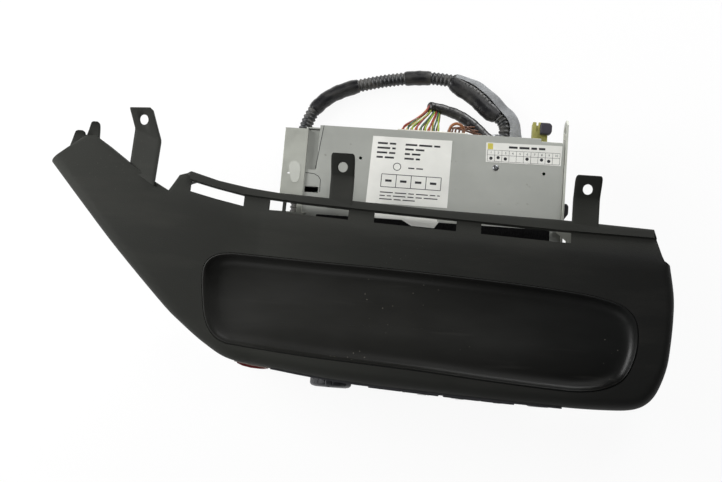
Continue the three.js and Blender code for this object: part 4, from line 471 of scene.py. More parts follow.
def soften(bm, width, angle=30):
    """Bevels the edges that are sharper than an angle, by a width in millimetres."""
    limit = math.radians(angle)
    edges = [e for e in bm.edges if len(e.link_faces) == 2 and e.calc_face_angle(0) > limit]
    bmesh.ops.bevel(
        bm, geom=edges, offset=width * MM, offset_type="OFFSET", segments=2, profile=0.5,
        affect="EDGES", material=-1, clamp_overlap=True,
    )


def flat(points):
    """One face through points in millimetres."""
    bm = bmesh.new()
    bm.faces.new([bm.verts.new(Vector(point) * MM) for point in points])
    return bm


def raised(bm, step):
    """Faces drawn out into a solid, by a step in millimetres."""
    drawn = bmesh.ops.extrude_face_region(bm, geom=bm.faces[:])
    corners = [g for g in drawn["geom"] if isinstance(g, bmesh.types.BMVert)]
    bmesh.ops.translate(bm, vec=Vector(step) * MM, verts=corners)
    bmesh.ops.recalc_face_normals(bm, faces=bm.faces)
    return bm


def slab(points, low, high):
    """A plan outline in millimetres, raised from one height to another."""
    return raised(flat([(x, y, low) for x, y in points]), (0, 0, high - low))


def facing(away, place):
    """A placement whose Z axis points away along a direction."""
    return Matrix.Translation(place) @ away.to_track_quat("Z", "Y").to_matrix().to_4x4()


def round_bar(radius, start, end, segments=24):
    """A round bar between two points in millimetres."""
    bm = bmesh.new()
    start, end = Vector(start) * MM, Vector(end) * MM
    away = end - start
    bmesh.ops.create_cone(
        bm, cap_ends=True, segments=segments, radius1=radius * MM, radius2=radius * MM,
        depth=away.length, matrix=facing(away, (start + end) / 2),
    )
    return bm


def gathered(*meshes):
    """Several pieces of mesh as one."""
    whole = bmesh.new()
    for bm in meshes:
        part = bpy.data.meshes.new("part")
        bm.to_mesh(part)
        bm.free()
        whole.from_mesh(part)
        bpy.data.meshes.remove(part)
    return whole


def shown(name, bm, finish, smooth_angle=35):
    mesh = bpy.data.meshes.new(name)
    bm.to_mesh(mesh)
    bm.free()
    mesh.shade_smooth()
    mesh.set_sharp_from_angle(angle=math.radians(smooth_angle))
    mesh.materials.append(finishes[finish] if isinstance(finish, str) else finish)
    piece = bpy.data.objects.new(name, mesh)
    bpy.context.scene.collection.objects.link(piece)
    return piece


def worked(piece):
    """The mesh of a piece after its modifiers."""
    mesh = bpy.data.meshes.new_from_object(
        piece.evaluated_get(bpy.context.evaluated_depsgraph_get())
    )
    bm = bmesh.new()
    bm.from_mesh(mesh)
    bpy.data.meshes.remove(mesh)
    return bm


def carved(bm, *cutters):
    """Cuts other solids out of a solid."""
    solid = shown("solid", bm, "black")
    knife = shown("knife", gathered(*cutters), "black")
    cut = solid.modifiers.new("cut", "BOOLEAN")
    cut.operation = "DIFFERENCE"
    cut.solver = "EXACT"
    cut.use_self = False
    cut.object = knife
    result = worked(solid)
    for spare in (solid, knife):
        mesh = spare.data
        bpy.data.objects.remove(spare)
        bpy.data.meshes.remove(mesh)
    return result


def riding(piece, body="chassis"):
    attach(piece, body)
    return piece


def standing_for(piece, node):
    """The piece rides as its node does, and is shown in its place while its node is hidden."""
    riding(piece, body_of_node[node])
    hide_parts(node)
    return piece


def softened_copy(node, width):
    """A CAD node with its doubles merged and its edges softened, which stands for it."""
    bm = bmesh.new()
    bm.from_mesh(nodes[node].data)
    bmesh.ops.remove_doubles(bm, verts=bm.verts, dist=0.002 * MM)
    bmesh.ops.dissolve_limit(bm, angle_limit=math.radians(0.8), verts=bm.verts, edges=bm.edges)
    soften(bm, width)
    piece = shown(f"{node}_shell", bm, slot_of_node[node], 50)
    piece.modifiers.new("even_normals", "WEIGHTED_NORMAL").keep_sharp = True
    return standing_for(piece, node)


def box_mm(node):
    """The low and the high corner of a node's box, in millimetres."""
    return np.array(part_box(node), float) / MM


# Smooth rows of points

def spline(points, steps):
    """A smooth row through points, evenly stepped from point to point."""
    points = np.array(points, float)
    last = len(points) - 1
    row = []
    for i in range(steps + 1):
        place = min(i * last / steps, last - 1e-9)
        k = int(place)
        w = place - k
        a, b, c, d = (points[min(max(k + n, 0), last)] for n in (-1, 0, 1, 2))
        bend, twist = 2 * a - 5 * b + 4 * c - d, 3 * b - a - 3 * c + d
        row.append(0.5 * (2 * b + (c - a) * w + bend * w ** 2 + twist * w ** 3))
    return np.array(row)


def even_route(points, pitch):
    """A route through points in millimetres, resampled to an even pitch."""
    dense = spline(points, 24 * (len(points) - 1))
    lengths = np.concatenate([[0], np.cumsum(np.linalg.norm(np.diff(dense, axis=0), axis=1))])
    count = max(2, round(lengths[-1] / pitch))
    at = np.linspace(0, lengths[-1], count + 1)
    return np.stack([np.interp(at, lengths, dense[:, k]) for k in range(3)], axis=1), lengths[-1]


def frames_along(route):
    """Across and up directions at each point of a route that stays nearly level."""
    ahead = np.gradient(route, axis=0)
    ahead /= np.linalg.norm(ahead, axis=1)[:, None]
    across = np.cross((0, 0, 1), ahead)
    across /= np.linalg.norm(across, axis=1)[:, None]
    return across, np.cross(ahead, across)


def tube(route, radii, sides, heights=None):
    """A round skin along a route, closed at its ends. Radii and shares of height go by point."""
    across, up = frames_along(route)
    count = len(route)

    def place(i, j):
        k = min(max(j - 1, 0), count - 1)
        radius = 0 if j in (0, count + 1) else radii[k]
        turn = 2 * math.pi * i / sides
        tall = heights[k] if heights else 1
        return route[k] + radius * (math.cos(turn) * across[k] + tall * math.sin(turn) * up[k])

    return closed_skin(woven(sides + 1, count + 2, place))


def lead(points, pitch, radius, sides):
    """A wire of one thickness through points in millimetres."""
    route, _ = even_route(points, pitch)
    return tube(route, [radius] * len(route), sides)


# The loom's routes, in millimetres, as the part's own source has them
CONDUIT_ROUTE = [
    (-97.8, 6, 7.6), (-97.8, 16, 7.6), (-97.8, 34, 7.6), (-97.8, 52, 7.6), (-97.8, 68, 7.3),
    (-97.8, 79, 6.4), (-95.6, 90.4, 5.4), (-90.2, 101.4, 5.2), (-80.2, 111, 5.2), (-66.4, 117.9, 5.2),
    (-51.7, 122.4, 5.2), (-35.8, 126, 5.2), (-18, 128.7, 5.2), (-2, 129, 5.2), (12, 127.3, 5.2),
    (23.2, 122.8, 5.2), (32.8, 115.8, 5.2), (40, 108.4, 5.2), (45.2, 102.6, 5.2), (48.8, 98.8, 5.2),
    (50.4, 95, 5.5), (50.4, 90.4, 5.6), (50.4, 85.9, 5.6),
]
CONDUIT_DIAMETER = 9.6
RIB_PITCH = 3.0
RIB_DEPTH = 0.75
# Start and end as shares of the conduit, thickness of the tape, and its lean to one side
TAPED_STRETCHES = [(0.355, 0.5, 0.4, 0), (0.63, 0.705, 0.35, 0), (0.76, 0.93, 2.3, -2.5)]
BUNDLE_ROUTE = [
    (-6.4, 106.4, 9.4), (-3, 106.6, 7.4), (2, 106.2, 5.8), (8, 104.9, 4.9), (15, 102.6, 4.9),
    (22, 98.8, 5), (28.6, 93.8, 5.1), (34, 88.6, 5.3), (38.4, 84.8, 5.4), (41, 83.2, 5.5),
    (43.3, 82.6, 5.6),
]
BUNDLE_THIN = 3.4
BUNDLE_THICK = 4.8
BUNDLE_PITCH = 0.8
WIRE_RADIUS = 0.66
WIRE_PITCH = 0.9
FAN_WIRES = 18
LOWER_WAYS, UPPER_WAYS = 17.5, 25.5
FOAM_START = 0.77
FOAM_TURN = 0.37 * math.pi
# Share of the foam's length and its outer radius there
FOAM_RADII = [(0, 5.6), (0.08, 6.2), (0.3, 8.2), (0.6, 9.6), (0.8, 10.4), (1, 12.6)]


def make_conduit():
    pitch = RIB_PITCH / 8
    route, length = even_route(CONDUIT_ROUTE, pitch)
    radii = []
    for k in range(len(route)):
        phase = (k * pitch / RIB_PITCH) % 1
        groove = 1 if phase > 0.56 else 0.5 if phase > 0.45 or phase < 0.06 else 0
        radii.append(CONDUIT_DIAMETER / 2 - RIB_DEPTH * groove)
    conduit = shown("loom_conduit_ribs", tube(route, radii, 20), "conduit", 50)
    return standing_for(conduit, "loom_conduit"), route, length


def make_tape_sleeve(number, route):
    """Tape wound round the conduit, in overlapping turns that thicken and thin."""
    start, end, thick, lean = TAPED_STRETCHES[number]
    first, last = round(start * (len(route) - 1)), round(end * (len(route) - 1))
    stretch = route[first:last + 1:3]
    count = len(stretch)
    across, _ = frames_along(stretch)
    radii, leans = [], []
    for k in range(count):
        share = k / (count - 1)
        swell = min(1, 9 * share, 9 * (1 - share)) ** 0.5
        wraps = 0.22 * ((k * 0.19) % 1) + 0.14 * math.sin(k * 0.71 + number)
        radii.append(CONDUIT_DIAMETER / 2 + 0.15 + (thick + wraps) * swell)
        leans.append(lean * min(1, 4 * k / count, 4 * (1 - k / count)))
    middle = stretch + across * np.array(leans)[:, None]
    # Kept clear of what it lies on
    heights = [min(1, (point[2] - 0.15) / radius) for point, radius in zip(middle, radii)]
    sleeve = shown(f"loom_tape_{number + 1}", tube(middle, radii, 22, heights), "tape", 60)
    return riding(sleeve)


def make_bundle():
    route, length = even_route(BUNDLE_ROUTE, BUNDLE_PITCH)
    count = len(route)
    radii = [
        BUNDLE_THIN + (BUNDLE_THICK - BUNDLE_THIN) * k / (count - 1)
        + 0.18 * ((k * 0.23) % 1) + 0.12 * math.sin(k * 0.6)
        for k in range(count)
    ]
    radii[0] *= 0.8
    bundle = shown("loom_bundle_tape", tube(route, radii, 18), "tape", 60)
    return standing_for(bundle, "loom_bundle"), route, length


def make_fan_wires():
    """The loose wires from the loom plug into the taped bundle, one colour for each group."""
    low, high = box_mm("loom_plug")
    rear = high[1]
    tip, inner = (Vector(point) for point in BUNDLE_ROUTE[:2])
    groups = [[] for _ in wire_finishes]
    for i in range(FAN_WIRES):
        share, upper = i / (FAN_WIRES - 1), i % 2
        x, z = low[0] + 3 + 26 * share, UPPER_WAYS if upper else LOWER_WAYS
        end = tip + (inner - tip) * (2.4 * share)
        end.z += (0.8 if upper else -0.9) - 1.2 * share
        end.y += 0.9 * math.sin(i * 2.1)
        waver = 0.9 * math.sin(i * 1.7)
        points = [(x, rear - 0.6, z), (x, rear + 3.5, z)]
        for run, reach, fall in ((0.4, 10.5, 0.35), (0.78, 17.5, 0.78)):
            points.append((x + (end.x - x) * run + waver, rear + reach, z + (end.z - z) * fall))
        groups[5 * i % len(groups)].append(lead([*points, end], WIRE_PITCH, WIRE_RADIUS, 8))
    joints = spline(BUNDLE_ROUTE, 40)[24:34:2]
    for i, joint in enumerate(joints):
        x, lower = 9 + 2.6 * i, i % 2
        points = [
            (x, rear - 0.6, LOWER_WAYS if lower else UPPER_WAYS),
            (x + 0.3, rear + 3 + 0.5 * i, 23 - 5 * lower),
            (x + 3, rear + 6.5 + 0.9 * math.sin(2 * i), 16 - 2 * lower),
            joint + (-2, -1, 4.6),
            joint + (1.5, -0.6, 0.5),
        ]
        groups[2].append(lead(points, WIRE_PITCH, WIRE_RADIUS, 8))
    pieces = []
    for number, (meshes, finish) in enumerate(zip(groups, wire_finishes)):
        piece = shown(f"loom_wires_{number + 1}", gathered(*meshes), finish, 60)
        pieces.append(riding(piece))
    return pieces


def make_loop_wire():
    rear = box_mm("loom_plug")[1][1]
    points = [
        (10, rear - 0.4, 24), (10, rear + 3, 24), (11.4, rear + 5.9, 25), (15, rear + 7.3, 26),
        (18.6, rear + 5.9, 25), (20, rear + 3, 22), (20, rear - 0.4, 22),
    ]
    return standing_for(shown("loop_wire_lead", lead(points, 0.5, 1.1, 12), "wire", 60), "loop_wire")


def make_foam(conduit_route):
    """Grey foam tape on the outer side of the conduit's right leg, growing wider at its end."""
    stretch = conduit_route[round(FOAM_START * (len(conduit_route) - 1))::6]
    across, up = frames_along(stretch)
    count = len(stretch)
    inner = CONDUIT_DIAMETER / 2 + 0.9
    outer = np.interp(np.linspace(0, 1, count), *zip(*FOAM_RADII))
    steps = 11

    def place(i, j):
        k = min(max(j - 1, 0), count - 1)
        share = (i % (2 * steps)) / steps
        if j in (0, count + 1):
            turn, radius = 0, (inner + outer[k]) / 2
        elif share <= 1:
            turn = FOAM_TURN * (2 * share - 1)
            flare = math.cos(1.2 * turn) ** 0.5
            radius = inner + 0.3 + (outer[k] - inner) * flare + 0.25 * math.sin(k * 0.9 + 3 * share)
        else:
            turn, radius = FOAM_TURN * (3 - 2 * share), inner
        return stretch[k] + radius * math.cos(turn) * across[k] + 5 * math.sin(turn) * up[k]

    foam = shown("foam_wrap_tape", closed_skin(woven(2 * steps + 1, count + 2, place)), "foam", 60)
    return standing_for(foam, "foam_wrap")


def make_loom():
    plug = softened_copy("loom_plug", 0.35)
    branch = softened_copy("branch_plug", 0.6)
    junction = softened_copy("loom_junction", 0.8)
    clip = softened_copy("loom_clip", 0.25)
    conduit, conduit_route, conduit_length = make_conduit()
    sleeves = [make_tape_sleeve(number, conduit_route) for number in range(len(TAPED_STRETCHES))]
    bundle, bundle_route, bundle_length = make_bundle()
    wires = make_fan_wires()
    loop = make_loop_wire()
    foam = make_foam(conduit_route)


make_loom()


# The fascia's plan, in shares of its width and depth, as the part's own source has it
FASCIA_LEFT, FASCIA_RIGHT = -253.0, 162.0
FASCIA_FRONT, FASCIA_REAR = -103.5, 49.0
LOWER_CURVE = [
    (0.001, 0.878), (0.056, 0.705), (0.112, 0.533), (0.191, 0.311), (0.223, 0.234), (0.266, 0.147),
    (0.308, 0.089), (0.373, 0.068), (0.441, 0.046), (0.508, 0.031), (0.586, 0.021), (0.692, 0.011),
    (0.8, 0.004), (0.863, 0.001), (0.916, 0.005), (0.945, 0.013), (0.964, 0.032), (0.978, 0.067),
    (0.988, 0.122), (0.996, 0.204), (0.999, 0.294), (1, 0.404), (0.998, 0.504), (0.989, 0.625),
]
RIGHT_END = [(0.977, 0.644), (0.965, 0.732), (0.96, 0.773)]
RAIL_REAR = [(0.816, 0.787), (0.629, 0.793), (0.371, 0.818), (0.323, 0.831), (0.274, 0.851)]
WING_UPPER = [
    (0.229, 0.882), (0.21, 0.863), (0.196, 0.79), (0.173, 0.823), (0.13, 0.895), (0.075, 0.998),
    (0.058, 1), (0.036, 0.952),
]
CREASE = [
    (-0.017, 1.199), (0.181, 1), (0.195, 0.791), (0.217, 0.777), (0.316, 0.7), (0.409, 0.702),
    (0.518, 0.674), (0.648, 0.654), (0.767, 0.645), (1.015, 0.624),
]
STEP = [
    (-0.017, 1.298), (0.201, 1.099), (0.229, 0.843), (0.27, 0.819), (0.316, 0.797), (0.421, 0.777),
    (0.504, 0.768), (0.818, 0.739), (1.015, 0.731),
]
LENS_OUTLINE = [
    (0.258, 0.404), (0.2645, 0.275), (0.2765, 0.2), (0.2955, 0.1605), (0.325, 0.1475), (0.439, 0.124),
    (0.614, 0.102), (0.717, 0.084), (0.8265, 0.07), (0.871, 0.072), (0.906, 0.094), (0.931, 0.1405),
    (0.9445, 0.225), (0.9475, 0.3145), (0.9405, 0.394), (0.9205, 0.4435), (0.886, 0.4715),
    (0.8465, 0.4865), (0.767, 0.503), (0.6575, 0.518), (0.5485, 0.529), (0.439, 0.536),
    (0.34, 0.544), (0.2985, 0.544), (0.2735, 0.525), (0.2595, 0.478), (0.258, 0.404),
]
SLOT_SHARES = [(0.229, 0.316), (0.357, 0.3785), (0.3835, 0.4845), (0.5255, 0.6555), (0.6945, 0.8345)]
LIP_HEIGHT = 66.0
LIP_RADIUS = 8.0
END_RADIUS = 6.0
WALL = 2.5
FACE_SLOPE = 12.6 / 79
WING_START = -89 - 164 * 0.13
WING_LIFT = 8.5
BAND_SLOPE = 1.5 / 17
RAIL_STEP = 2.0
STEP_RUN = 0.6
SLOT_DEPTH = 7.0
REAR_RADIUS = 0.7
RIGHT_END_X = 120
# How far in the roll of the lip reaches, outside and inside, and at most as a share of the depth
LIP_REACH = 8.4
INNER_REACH = 6.0
MOST_REACH = 0.42
# The heights that cutters through the top run between
CUT_LOW, CUT_HIGH = 50, 110
STRAP_CELLS = 8
PLATE = 2.6
TAB_HOLE_RADIUS = 3.2
HOOK_RISE = 6.0
# The openings in the front: for the control face, and for the hazard button
MOUTH = (-98, 96), (-112, -81.25), (6, 59)
HAZARD_WINDOW = (-123.9, -100.1), (-110, -75), (38.1, 53.9)
MOUTH_RIBS = [(-99.8, -97.75), (95.75, 97.8)]
BOSS_RADIUS = 4.6
BOSSES = [(-107.1, 3.8), (101.1, 3.8)]
BOSS_BOTTOM = 54.1


def on_fascia(shares):
    size = np.array([FASCIA_RIGHT - FASCIA_LEFT, FASCIA_REAR - FASCIA_FRONT])
    return np.array([FASCIA_LEFT, FASCIA_FRONT]) + np.array(shares, float) * size


lower_row = on_fascia(spline(LOWER_CURVE, 460))
upper_row = on_fascia(RIGHT_END + RAIL_REAR + WING_UPPER)
outline = np.vstack([lower_row, upper_row])
crease_row = on_fascia(CREASE)
step_row = on_fascia(STEP)
lens_row = on_fascia(spline(LENS_OUTLINE, 208))[:-1]


def crease_at(x):
    return np.interp(x, *crease_row.T)


def step_at(x):
    return np.interp(x, *step_row.T)


def span_at(x):
    """The lowest and highest y of the outline at one x."""
    following = np.roll(outline, -1, axis=0)
    crossing = (outline[:, 0] - x) * (following[:, 0] - x) <= 0
    crossing &= outline[:, 0] != following[:, 0]
    a, b = outline[crossing], following[crossing]
    ys = a[:, 1] + (b[:, 1] - a[:, 1]) * (x - a[:, 0]) / (b[:, 0] - a[:, 0])
    return ys.min(), ys.max()


def face_height(x, y):
    """The height of the fascia's surface before its edges are rounded."""
    crease = crease_at(x)
    lift = WING_LIFT * max(0.0, WING_START - x) / (WING_START - FASCIA_LEFT)
    step = RAIL_STEP if y > step_at(x) + STEP_RUN / 2 else 0
    main = LIP_HEIGHT + FACE_SLOPE * (min(y, crease) - FASCIA_FRONT - LIP_RADIUS)
    return main + lift - BAND_SLOPE * max(0.0, y - crease) + step


def distance_to(row, x, y):
    """The distance to a row of points in plan, and the place of the nearest point."""
    a = row[:-1]
    along = row[1:] - a
    share = ((x - a[:, 0]) * along[:, 0] + (y - a[:, 1]) * along[:, 1]) / (along ** 2).sum(1)
    near = a + np.clip(share, 0, 1)[:, None] * along
    gaps = np.hypot(near[:, 0] - x, near[:, 1] - y)
    best = gaps.argmin()
    return gaps[best], near[best]


def rounding(gap, radius):
    """How far a rounded edge falls at a gap from it."""
    if gap >= radius:
        return 0.0
    return radius - math.sqrt(max(0.0, radius ** 2 - (radius - max(gap, 0)) ** 2))


def drop_at(x, y, inwards=0.0):
    """How far the rounding of the lip, the end and the rear lowers the surface."""
    gap, near = distance_to(lower_row, x, y)
    # The lip's radius goes over into the end's over 25 mm
    towards_end = min(1.0, max(0.0, (near[1] + 96) / 25)) if near[0] > RIGHT_END_X else 0.0
    radius = LIP_RADIUS + (END_RADIUS - LIP_RADIUS) * towards_end - inwards
    rear_gap, _ = distance_to(upper_row, x, y)
    return max(rounding(gap - inwards, radius), rounding(rear_gap - inwards, REAR_RADIUS))


def hem_at(y):
    """The height of the moulding's lower edge, which rises from the lip to the rail."""
    return float(np.interp(y, (-61.5, -11.5, 54), (3.0, 58.3, 64.6)))


def fascia_columns():
    """Places along X, close together at the ends and at every bend of the plan."""
    first, last = outline[:, 0].min(), outline[:, 0].max()
    bends = [*upper_row[:, 0], *crease_row[:, 0], *step_row[:, 0], WING_START]
    marks = list(np.arange(first + 6, last - 12, 2.2))
    marks = sorted(marks + [x for x in bends if first < x < last - 12])
    kept = [x for i, x in enumerate(marks) if not i or x - marks[i - 1] > 0.25]
    nearing = (
        0.003, 0.02, 0.07, 0.16, 0.3, 0.5, 0.8, 1.2, 1.7, 2.3, 3, 3.8, 4.7, 5.7, 6.8, 8, 9.3, 10.7,
    )
    start = [first + d / 2 for d in nearing if d / 2 < kept[0] - first - 0.3]
    return start + kept + [last - d for d in reversed(nearing)]


def even_steps(start, end, count):
    """Even steps from one number to another, without the first."""
    return [start + (end - start) * k / count for k in range(1, count + 1)]


def upright(x, y, low, high, shares):
    """Points above each other, at shares of the way from one height to another."""
    return [(x, y, low + (high - low) * share) for share in shares]


def make_fascia_shell():
    xs = np.array(fascia_columns())
    spans = np.array([span_at(x) for x in xs])
    fine = np.linspace(xs[0], xs[-1], 1600)
    low_fine, high_fine = np.array([span_at(x) for x in fine]).T

    def inner_span(x):
        """The span that keeps a wall's distance from the outline."""
        near = np.abs(fine - x) <= WALL
        rise = np.sqrt(np.maximum(0, WALL ** 2 - (fine[near] - x) ** 2))
        low, high = (low_fine[near] + rise).max(), (high_fine[near] - rise).min()
        middle = (low + high) / 2
        return min(low, middle), max(high, middle)

    inner_first, inner_last = xs[0] + 4.5, xs[-1] - WALL - 0.05
    inner_xs = inner_first + (xs - xs[0]) / (xs[-1] - xs[0]) * (inner_last - inner_first)
    steepness = np.sqrt(1 + np.gradient(spans[:, 0], xs) ** 2)
    roll = (0, 0.004, 0.02, 0.055, 0.11, 0.18, 0.27, 0.38, 0.5, 0.64, 0.8, 1)
    skirt = (0, 0.18, 0.4, 0.62, 0.82, 0.93)

    def column(i):
        """One section: outer skirt, face, rail and rear skirt, then the inner skin on the way back."""
        x, (low, high) = xs[i], spans[i]
        reach = min(LIP_REACH * steepness[i], MOST_REACH * (high - low))
        front = low + reach
        rear = high - min(REAR_RADIUS, 0.1 * (high - low))
        crease = min(max(crease_at(x), front), rear)
        step = min(max(step_at(x), crease), rear)
        after = min(step + STEP_RUN, rear)
        ys = [low + reach * share for share in roll]
        ys += even_steps(front, crease, 14) + even_steps(crease, step, 4)
        ys += [after] + even_steps(after, rear, 3)
        ys += [high - (high - rear) * share for share in (0.5, 0.2, 0)]
        top = [(x, y, face_height(x, y) - drop_at(x, y)) for y in ys]
        front_low, rear_low = hem_at(low), hem_at(high)
        outer = upright(x, low, front_low, top[0][2], skirt) + top
        outer += upright(x, high, rear_low, top[-1][2], (0.7, 0.35, 0))
        x = inner_xs[i]
        low, high = inner_span(x)
        reach = min(INNER_REACH * steepness[i], MOST_REACH * (high - low))
        front = low + reach
        step = min(max(step_at(x), front), high)
        crease = min(max(crease_at(x), front), step)
        ys = [high, min(step + STEP_RUN, high), step, crease, *even_steps(crease, front, 6)]
        ys += [low + reach * share for share in (0.6, 0.34, 0.16, 0.05, 0)]
        under = [(x, y, face_height(x, y) - WALL - drop_at(x, y, WALL)) for y in ys]
        inner = upright(x, high, rear_low, under[0][2], (0, 0.5)) + under
        inner += upright(x, low, front_low, under[-1][2], (0.5, 0))
        return outer, inner

    columns = [column(i) for i in range(len(xs))]
    rings = [outer + inner + outer[:1] for outer, inner in columns]
    bm = woven(len(rings), len(rings[0]), lambda i, j: rings[i][j])
    for outer, inner in (columns[0], columns[-1]):
        for corners in (outer, inner, (outer[0], outer[-1], inner[0], inner[-1])):
            bm.faces.new([bm.verts.new(Vector(corner) * MM) for corner in corners])
    return closed_skin(bm, 0.002)


def slot_cutter(start, end):
    xs = on_fascia([(share, 0) for share in np.linspace(start, end, 13)])[:, 0]
    rear = [(x, step_at(x) - STEP_RUN / 2) for x in xs]
    front = [(x, y - SLOT_DEPTH) for x, y in rear]
    return slab(front + rear[::-1], CUT_LOW, CUT_HIGH)


def strap(rows, fineness=4):
    """A bent strip of plate through rows of left and right points."""
    steps = fineness * (len(rows) - 1)
    lefts = spline([left for left, _ in rows], steps)
    rights = spline([right for _, right in rows], steps)

    def place(i, j):
        return lefts[j] + (rights[j] - lefts[j]) * (i / STRAP_CELLS)

    return raised(woven(STRAP_CELLS + 1, steps + 1, place), (0, 0, -PLATE))


def drilled(plate, x, y, z):
    hole = round_bar(TAB_HOLE_RADIUS, (x, y, z - 8), (x, y, z + 22), 32)
    return carved(plate, hole)


def back_tab(share, width):
    x = on_fascia((share, 0))[0]
    rear = span_at(x)[1]
    neck, top = rear + 15, rear + 29
    height = face_height(x, rear - 2)
    half = width / 2
    rows = []
    for y, rise, narrower in (
        (rear - 5, 0, 0), (rear - 2, 0, 0), (neck - 5, 0, 0), (neck, 0.3, 0), (neck + 2.6, 1.6, 0),
        (top - 2, 9 * 12 / 14, 0), (top, 9, 1.3),
    ):
        z = height + rise
        rows.append([(x - half + narrower, y, z), (x + half - narrower, y, z)])
    return drilled(strap(rows), x, top - 8, height)


def wing_tab():
    shares = [
        ((0.1305, 0.871), (0.173, 0.801), 0), ((0.1305, 0.896), (0.173, 0.826), 0),
        ((0.1332, 1.04), (0.1768, 0.994), 0.1), ((0.1334, 1.05), (0.1768, 1.006), 0.16),
        ((0.1288, 1.118), (0.1655, 1.12), 0.95), ((0.1292, 1.1245), (0.1615, 1.129), 1),
    ]
    base = face_height(*on_fascia(shares[0][0])) - 1
    rows = []
    for left, right, up in shares:
        rows.append([(*on_fascia(side), base + 11 * up) for side in (left, right)])
    return drilled(strap(rows, fineness=1), *on_fascia((0.15, 1.082)), base)


def end_hook(u, v, half_share, reach):
    """A small hook that curls up and leans to the right, with a rounded tip."""
    x, y = on_fascia((u, v))
    half = half_share * (FASCIA_RIGHT - FASCIA_LEFT)
    height = face_height(x, y) - 2
    rows = []
    for back, up, left, right in (
        (-0.3, -0.2, -1, 1), (0.2, 0, -0.75, 1), (0.55, 0.2, -0.45, 1.05), (0.85, 0.6, -0.1, 1.15),
        (0.97, 0.9, 0.15, 1.15), (1.02, 1, 0.45, 1.0),
    ):
        z = height + up * HOOK_RISE
        rows.append([(x + side * half, y + back * reach, z) for side in (left, right)])
    return strap(rows)


def make_fascia():
    cutters = [slab(lens_row, CUT_LOW, CUT_HIGH), block(*MOUTH), block(*HAZARD_WINDOW)]
    cutters += [slot_cutter(*shares) for shares in SLOT_SHARES]
    shell = carved(make_fascia_shell(), *cutters)
    plates = [
        back_tab(0.4705, 15.5), back_tab(0.8545, 17), wing_tab(),
        end_hook(0.041, 0.93, 0.0135, 12.5), end_hook(0.066, 0.985, 0.0115, 10.5),
    ]
    for plate in plates:
        soften(plate, 0.5, 50)
    bosses = [
        round_bar(BOSS_RADIUS, (x, y, BOSS_BOTTOM), (x, y, face_height(x, y) - 1.2)) for x, y in BOSSES
    ]
    ribs = []
    for side in MOUTH_RIBS:
        back = span_at(side[0])[0] + WALL
        ribs.append(block(side, (back - 0.4, back + 3), (5, 60)))
    piece = shown("fascia_surface", gathered(shell, *plates, *bosses, *ribs), "moulding", 40)
    standing_for(piece, "fascia_moulding")


make_fascia()


# The display lens

LENS_RIM = 1.2
LENS_FRONT, LENS_REAR = lens_row[:, 1].min(), lens_row[:, 1].max()
LENS_DRAW = 0.128 * (LENS_REAR - LENS_FRONT)
# How far in from the rim, as a share of the draw, and how deep, as a share of the dish
DISH = [
    (0.02, 0.06), (0.05, 0.2), (0.09, 0.36), (0.15, 0.52), (0.25, 0.68), (0.4, 0.82), (0.6, 0.93),
    (0.8, 0.98), (1, 1),
]


def inset(distance):
    """The lens's outline, which runs anticlockwise, moved inwards by a distance."""
    along = np.roll(lens_row, -1, axis=0) - np.roll(lens_row, 1, axis=0)
    along /= np.linalg.norm(along, axis=1)[:, None]
    return lens_row + distance * np.stack([-along[:, 1], along[:, 0]], axis=1)


def sunk(row, sink, share=0.0):
    """A row in plan laid under the fascia's surface, by a step and a share of the dish's depth."""
    ring = []
    for x, y in row:
        depth = 5 + 5 * (y - LENS_FRONT) / (LENS_REAR - LENS_FRONT)
        ring.append((x, y, face_height(x, y) - sink - share * depth))
    return ring


def skin_of(rings):
    """A skin through closed rings that have equally many points."""
    count = len(rings[0])
    return closed_skin(woven(count + 1, len(rings), lambda i, j: rings[j][i % count]), 0.002)


def make_lens():
    floor = inset(LENS_RIM + LENS_DRAW)
    middle = np.array([(min(max(x, -60), 60), -56) for x, _ in floor])
    rings = [
        sunk(inset(0.9 + drawn * LENS_DRAW), WALL, share)
        for drawn, share in ((1, 1), (0.5, 0.9), (0, 0.5))
    ]
    rings += [
        sunk(inset(spread), sink)
        for spread, sink in ((0.3, 3.5), (0.3, 0.35), (0.38, 0.1), (0.6, 0), (LENS_RIM - 0.15, 0))
    ]
    rings += [sunk(inset(LENS_RIM + drawn * LENS_DRAW), 0, share) for drawn, share in DISH]
    rings += [sunk(floor + (middle - floor) * share, 0, 1) for share in (0.25, 0.5)]
    bm = skin_of(rings)
    bmesh.ops.holes_fill(bm, edges=[edge for edge in bm.edges if edge.is_boundary], sides=0)
    bmesh.ops.recalc_face_normals(bm, faces=bm.faces)
    standing_for(shown("display_lens_dish", bm, "lens", 40), "display_lens")


def make_lens_seal():
    """A dark strip under the gap between the lens and its window: painted shade, whose dark colour keeps
    the gap as dark as the shade inside it.
    """
    section = ((0.5, 2.75), (-1.6, 2.75), (-1.6, 3.4), (0.5, 3.4), (0.5, 2.75))
    bm = skin_of([sunk(inset(spread), sink) for spread, sink in section])
    riding(shown("lens_gap_shade", bm, "rubber", 40))


make_lens()
make_lens_seal()


# Metal body, brackets, sockets and keys, with edges softened by a width
SOFTENED = {
    "top_cover": 0.35, "chassis_tub": 0.3, "rear_panel": 0.2, "left_bracket": 0.4,
    "right_bracket": 0.4, "front_bezel": 0.35, "hazard_switch": 0.35, "hazard_button": 0.6,
    "side_bumper": 0.7, "volume_dial": 0.15, "tune_dial": 0.15, "radio_socket": 0.25,
    "aux_socket": 0.3, "aux_plug": 0.7, "aerial_socket": 0.2, "heat_sink": 0.2, "dust_felt": 0.3,
}
PRESETS = [f"preset_button_{number}" for number in range(1, 7)]
KEYS = [*PRESETS, "source_button", "seek_down_button", "seek_up_button", "eject_button"]
KEY_SOFTNESS = 0.5

for node, width in SOFTENED.items():
    softened_copy(node, width)
for key in KEYS:
    softened_copy(key, KEY_SOFTNESS)


for node, piece in nodes.items():
    piece.data.materials.clear()
    piece.data.materials.append(finishes[slot_of_node[node]])


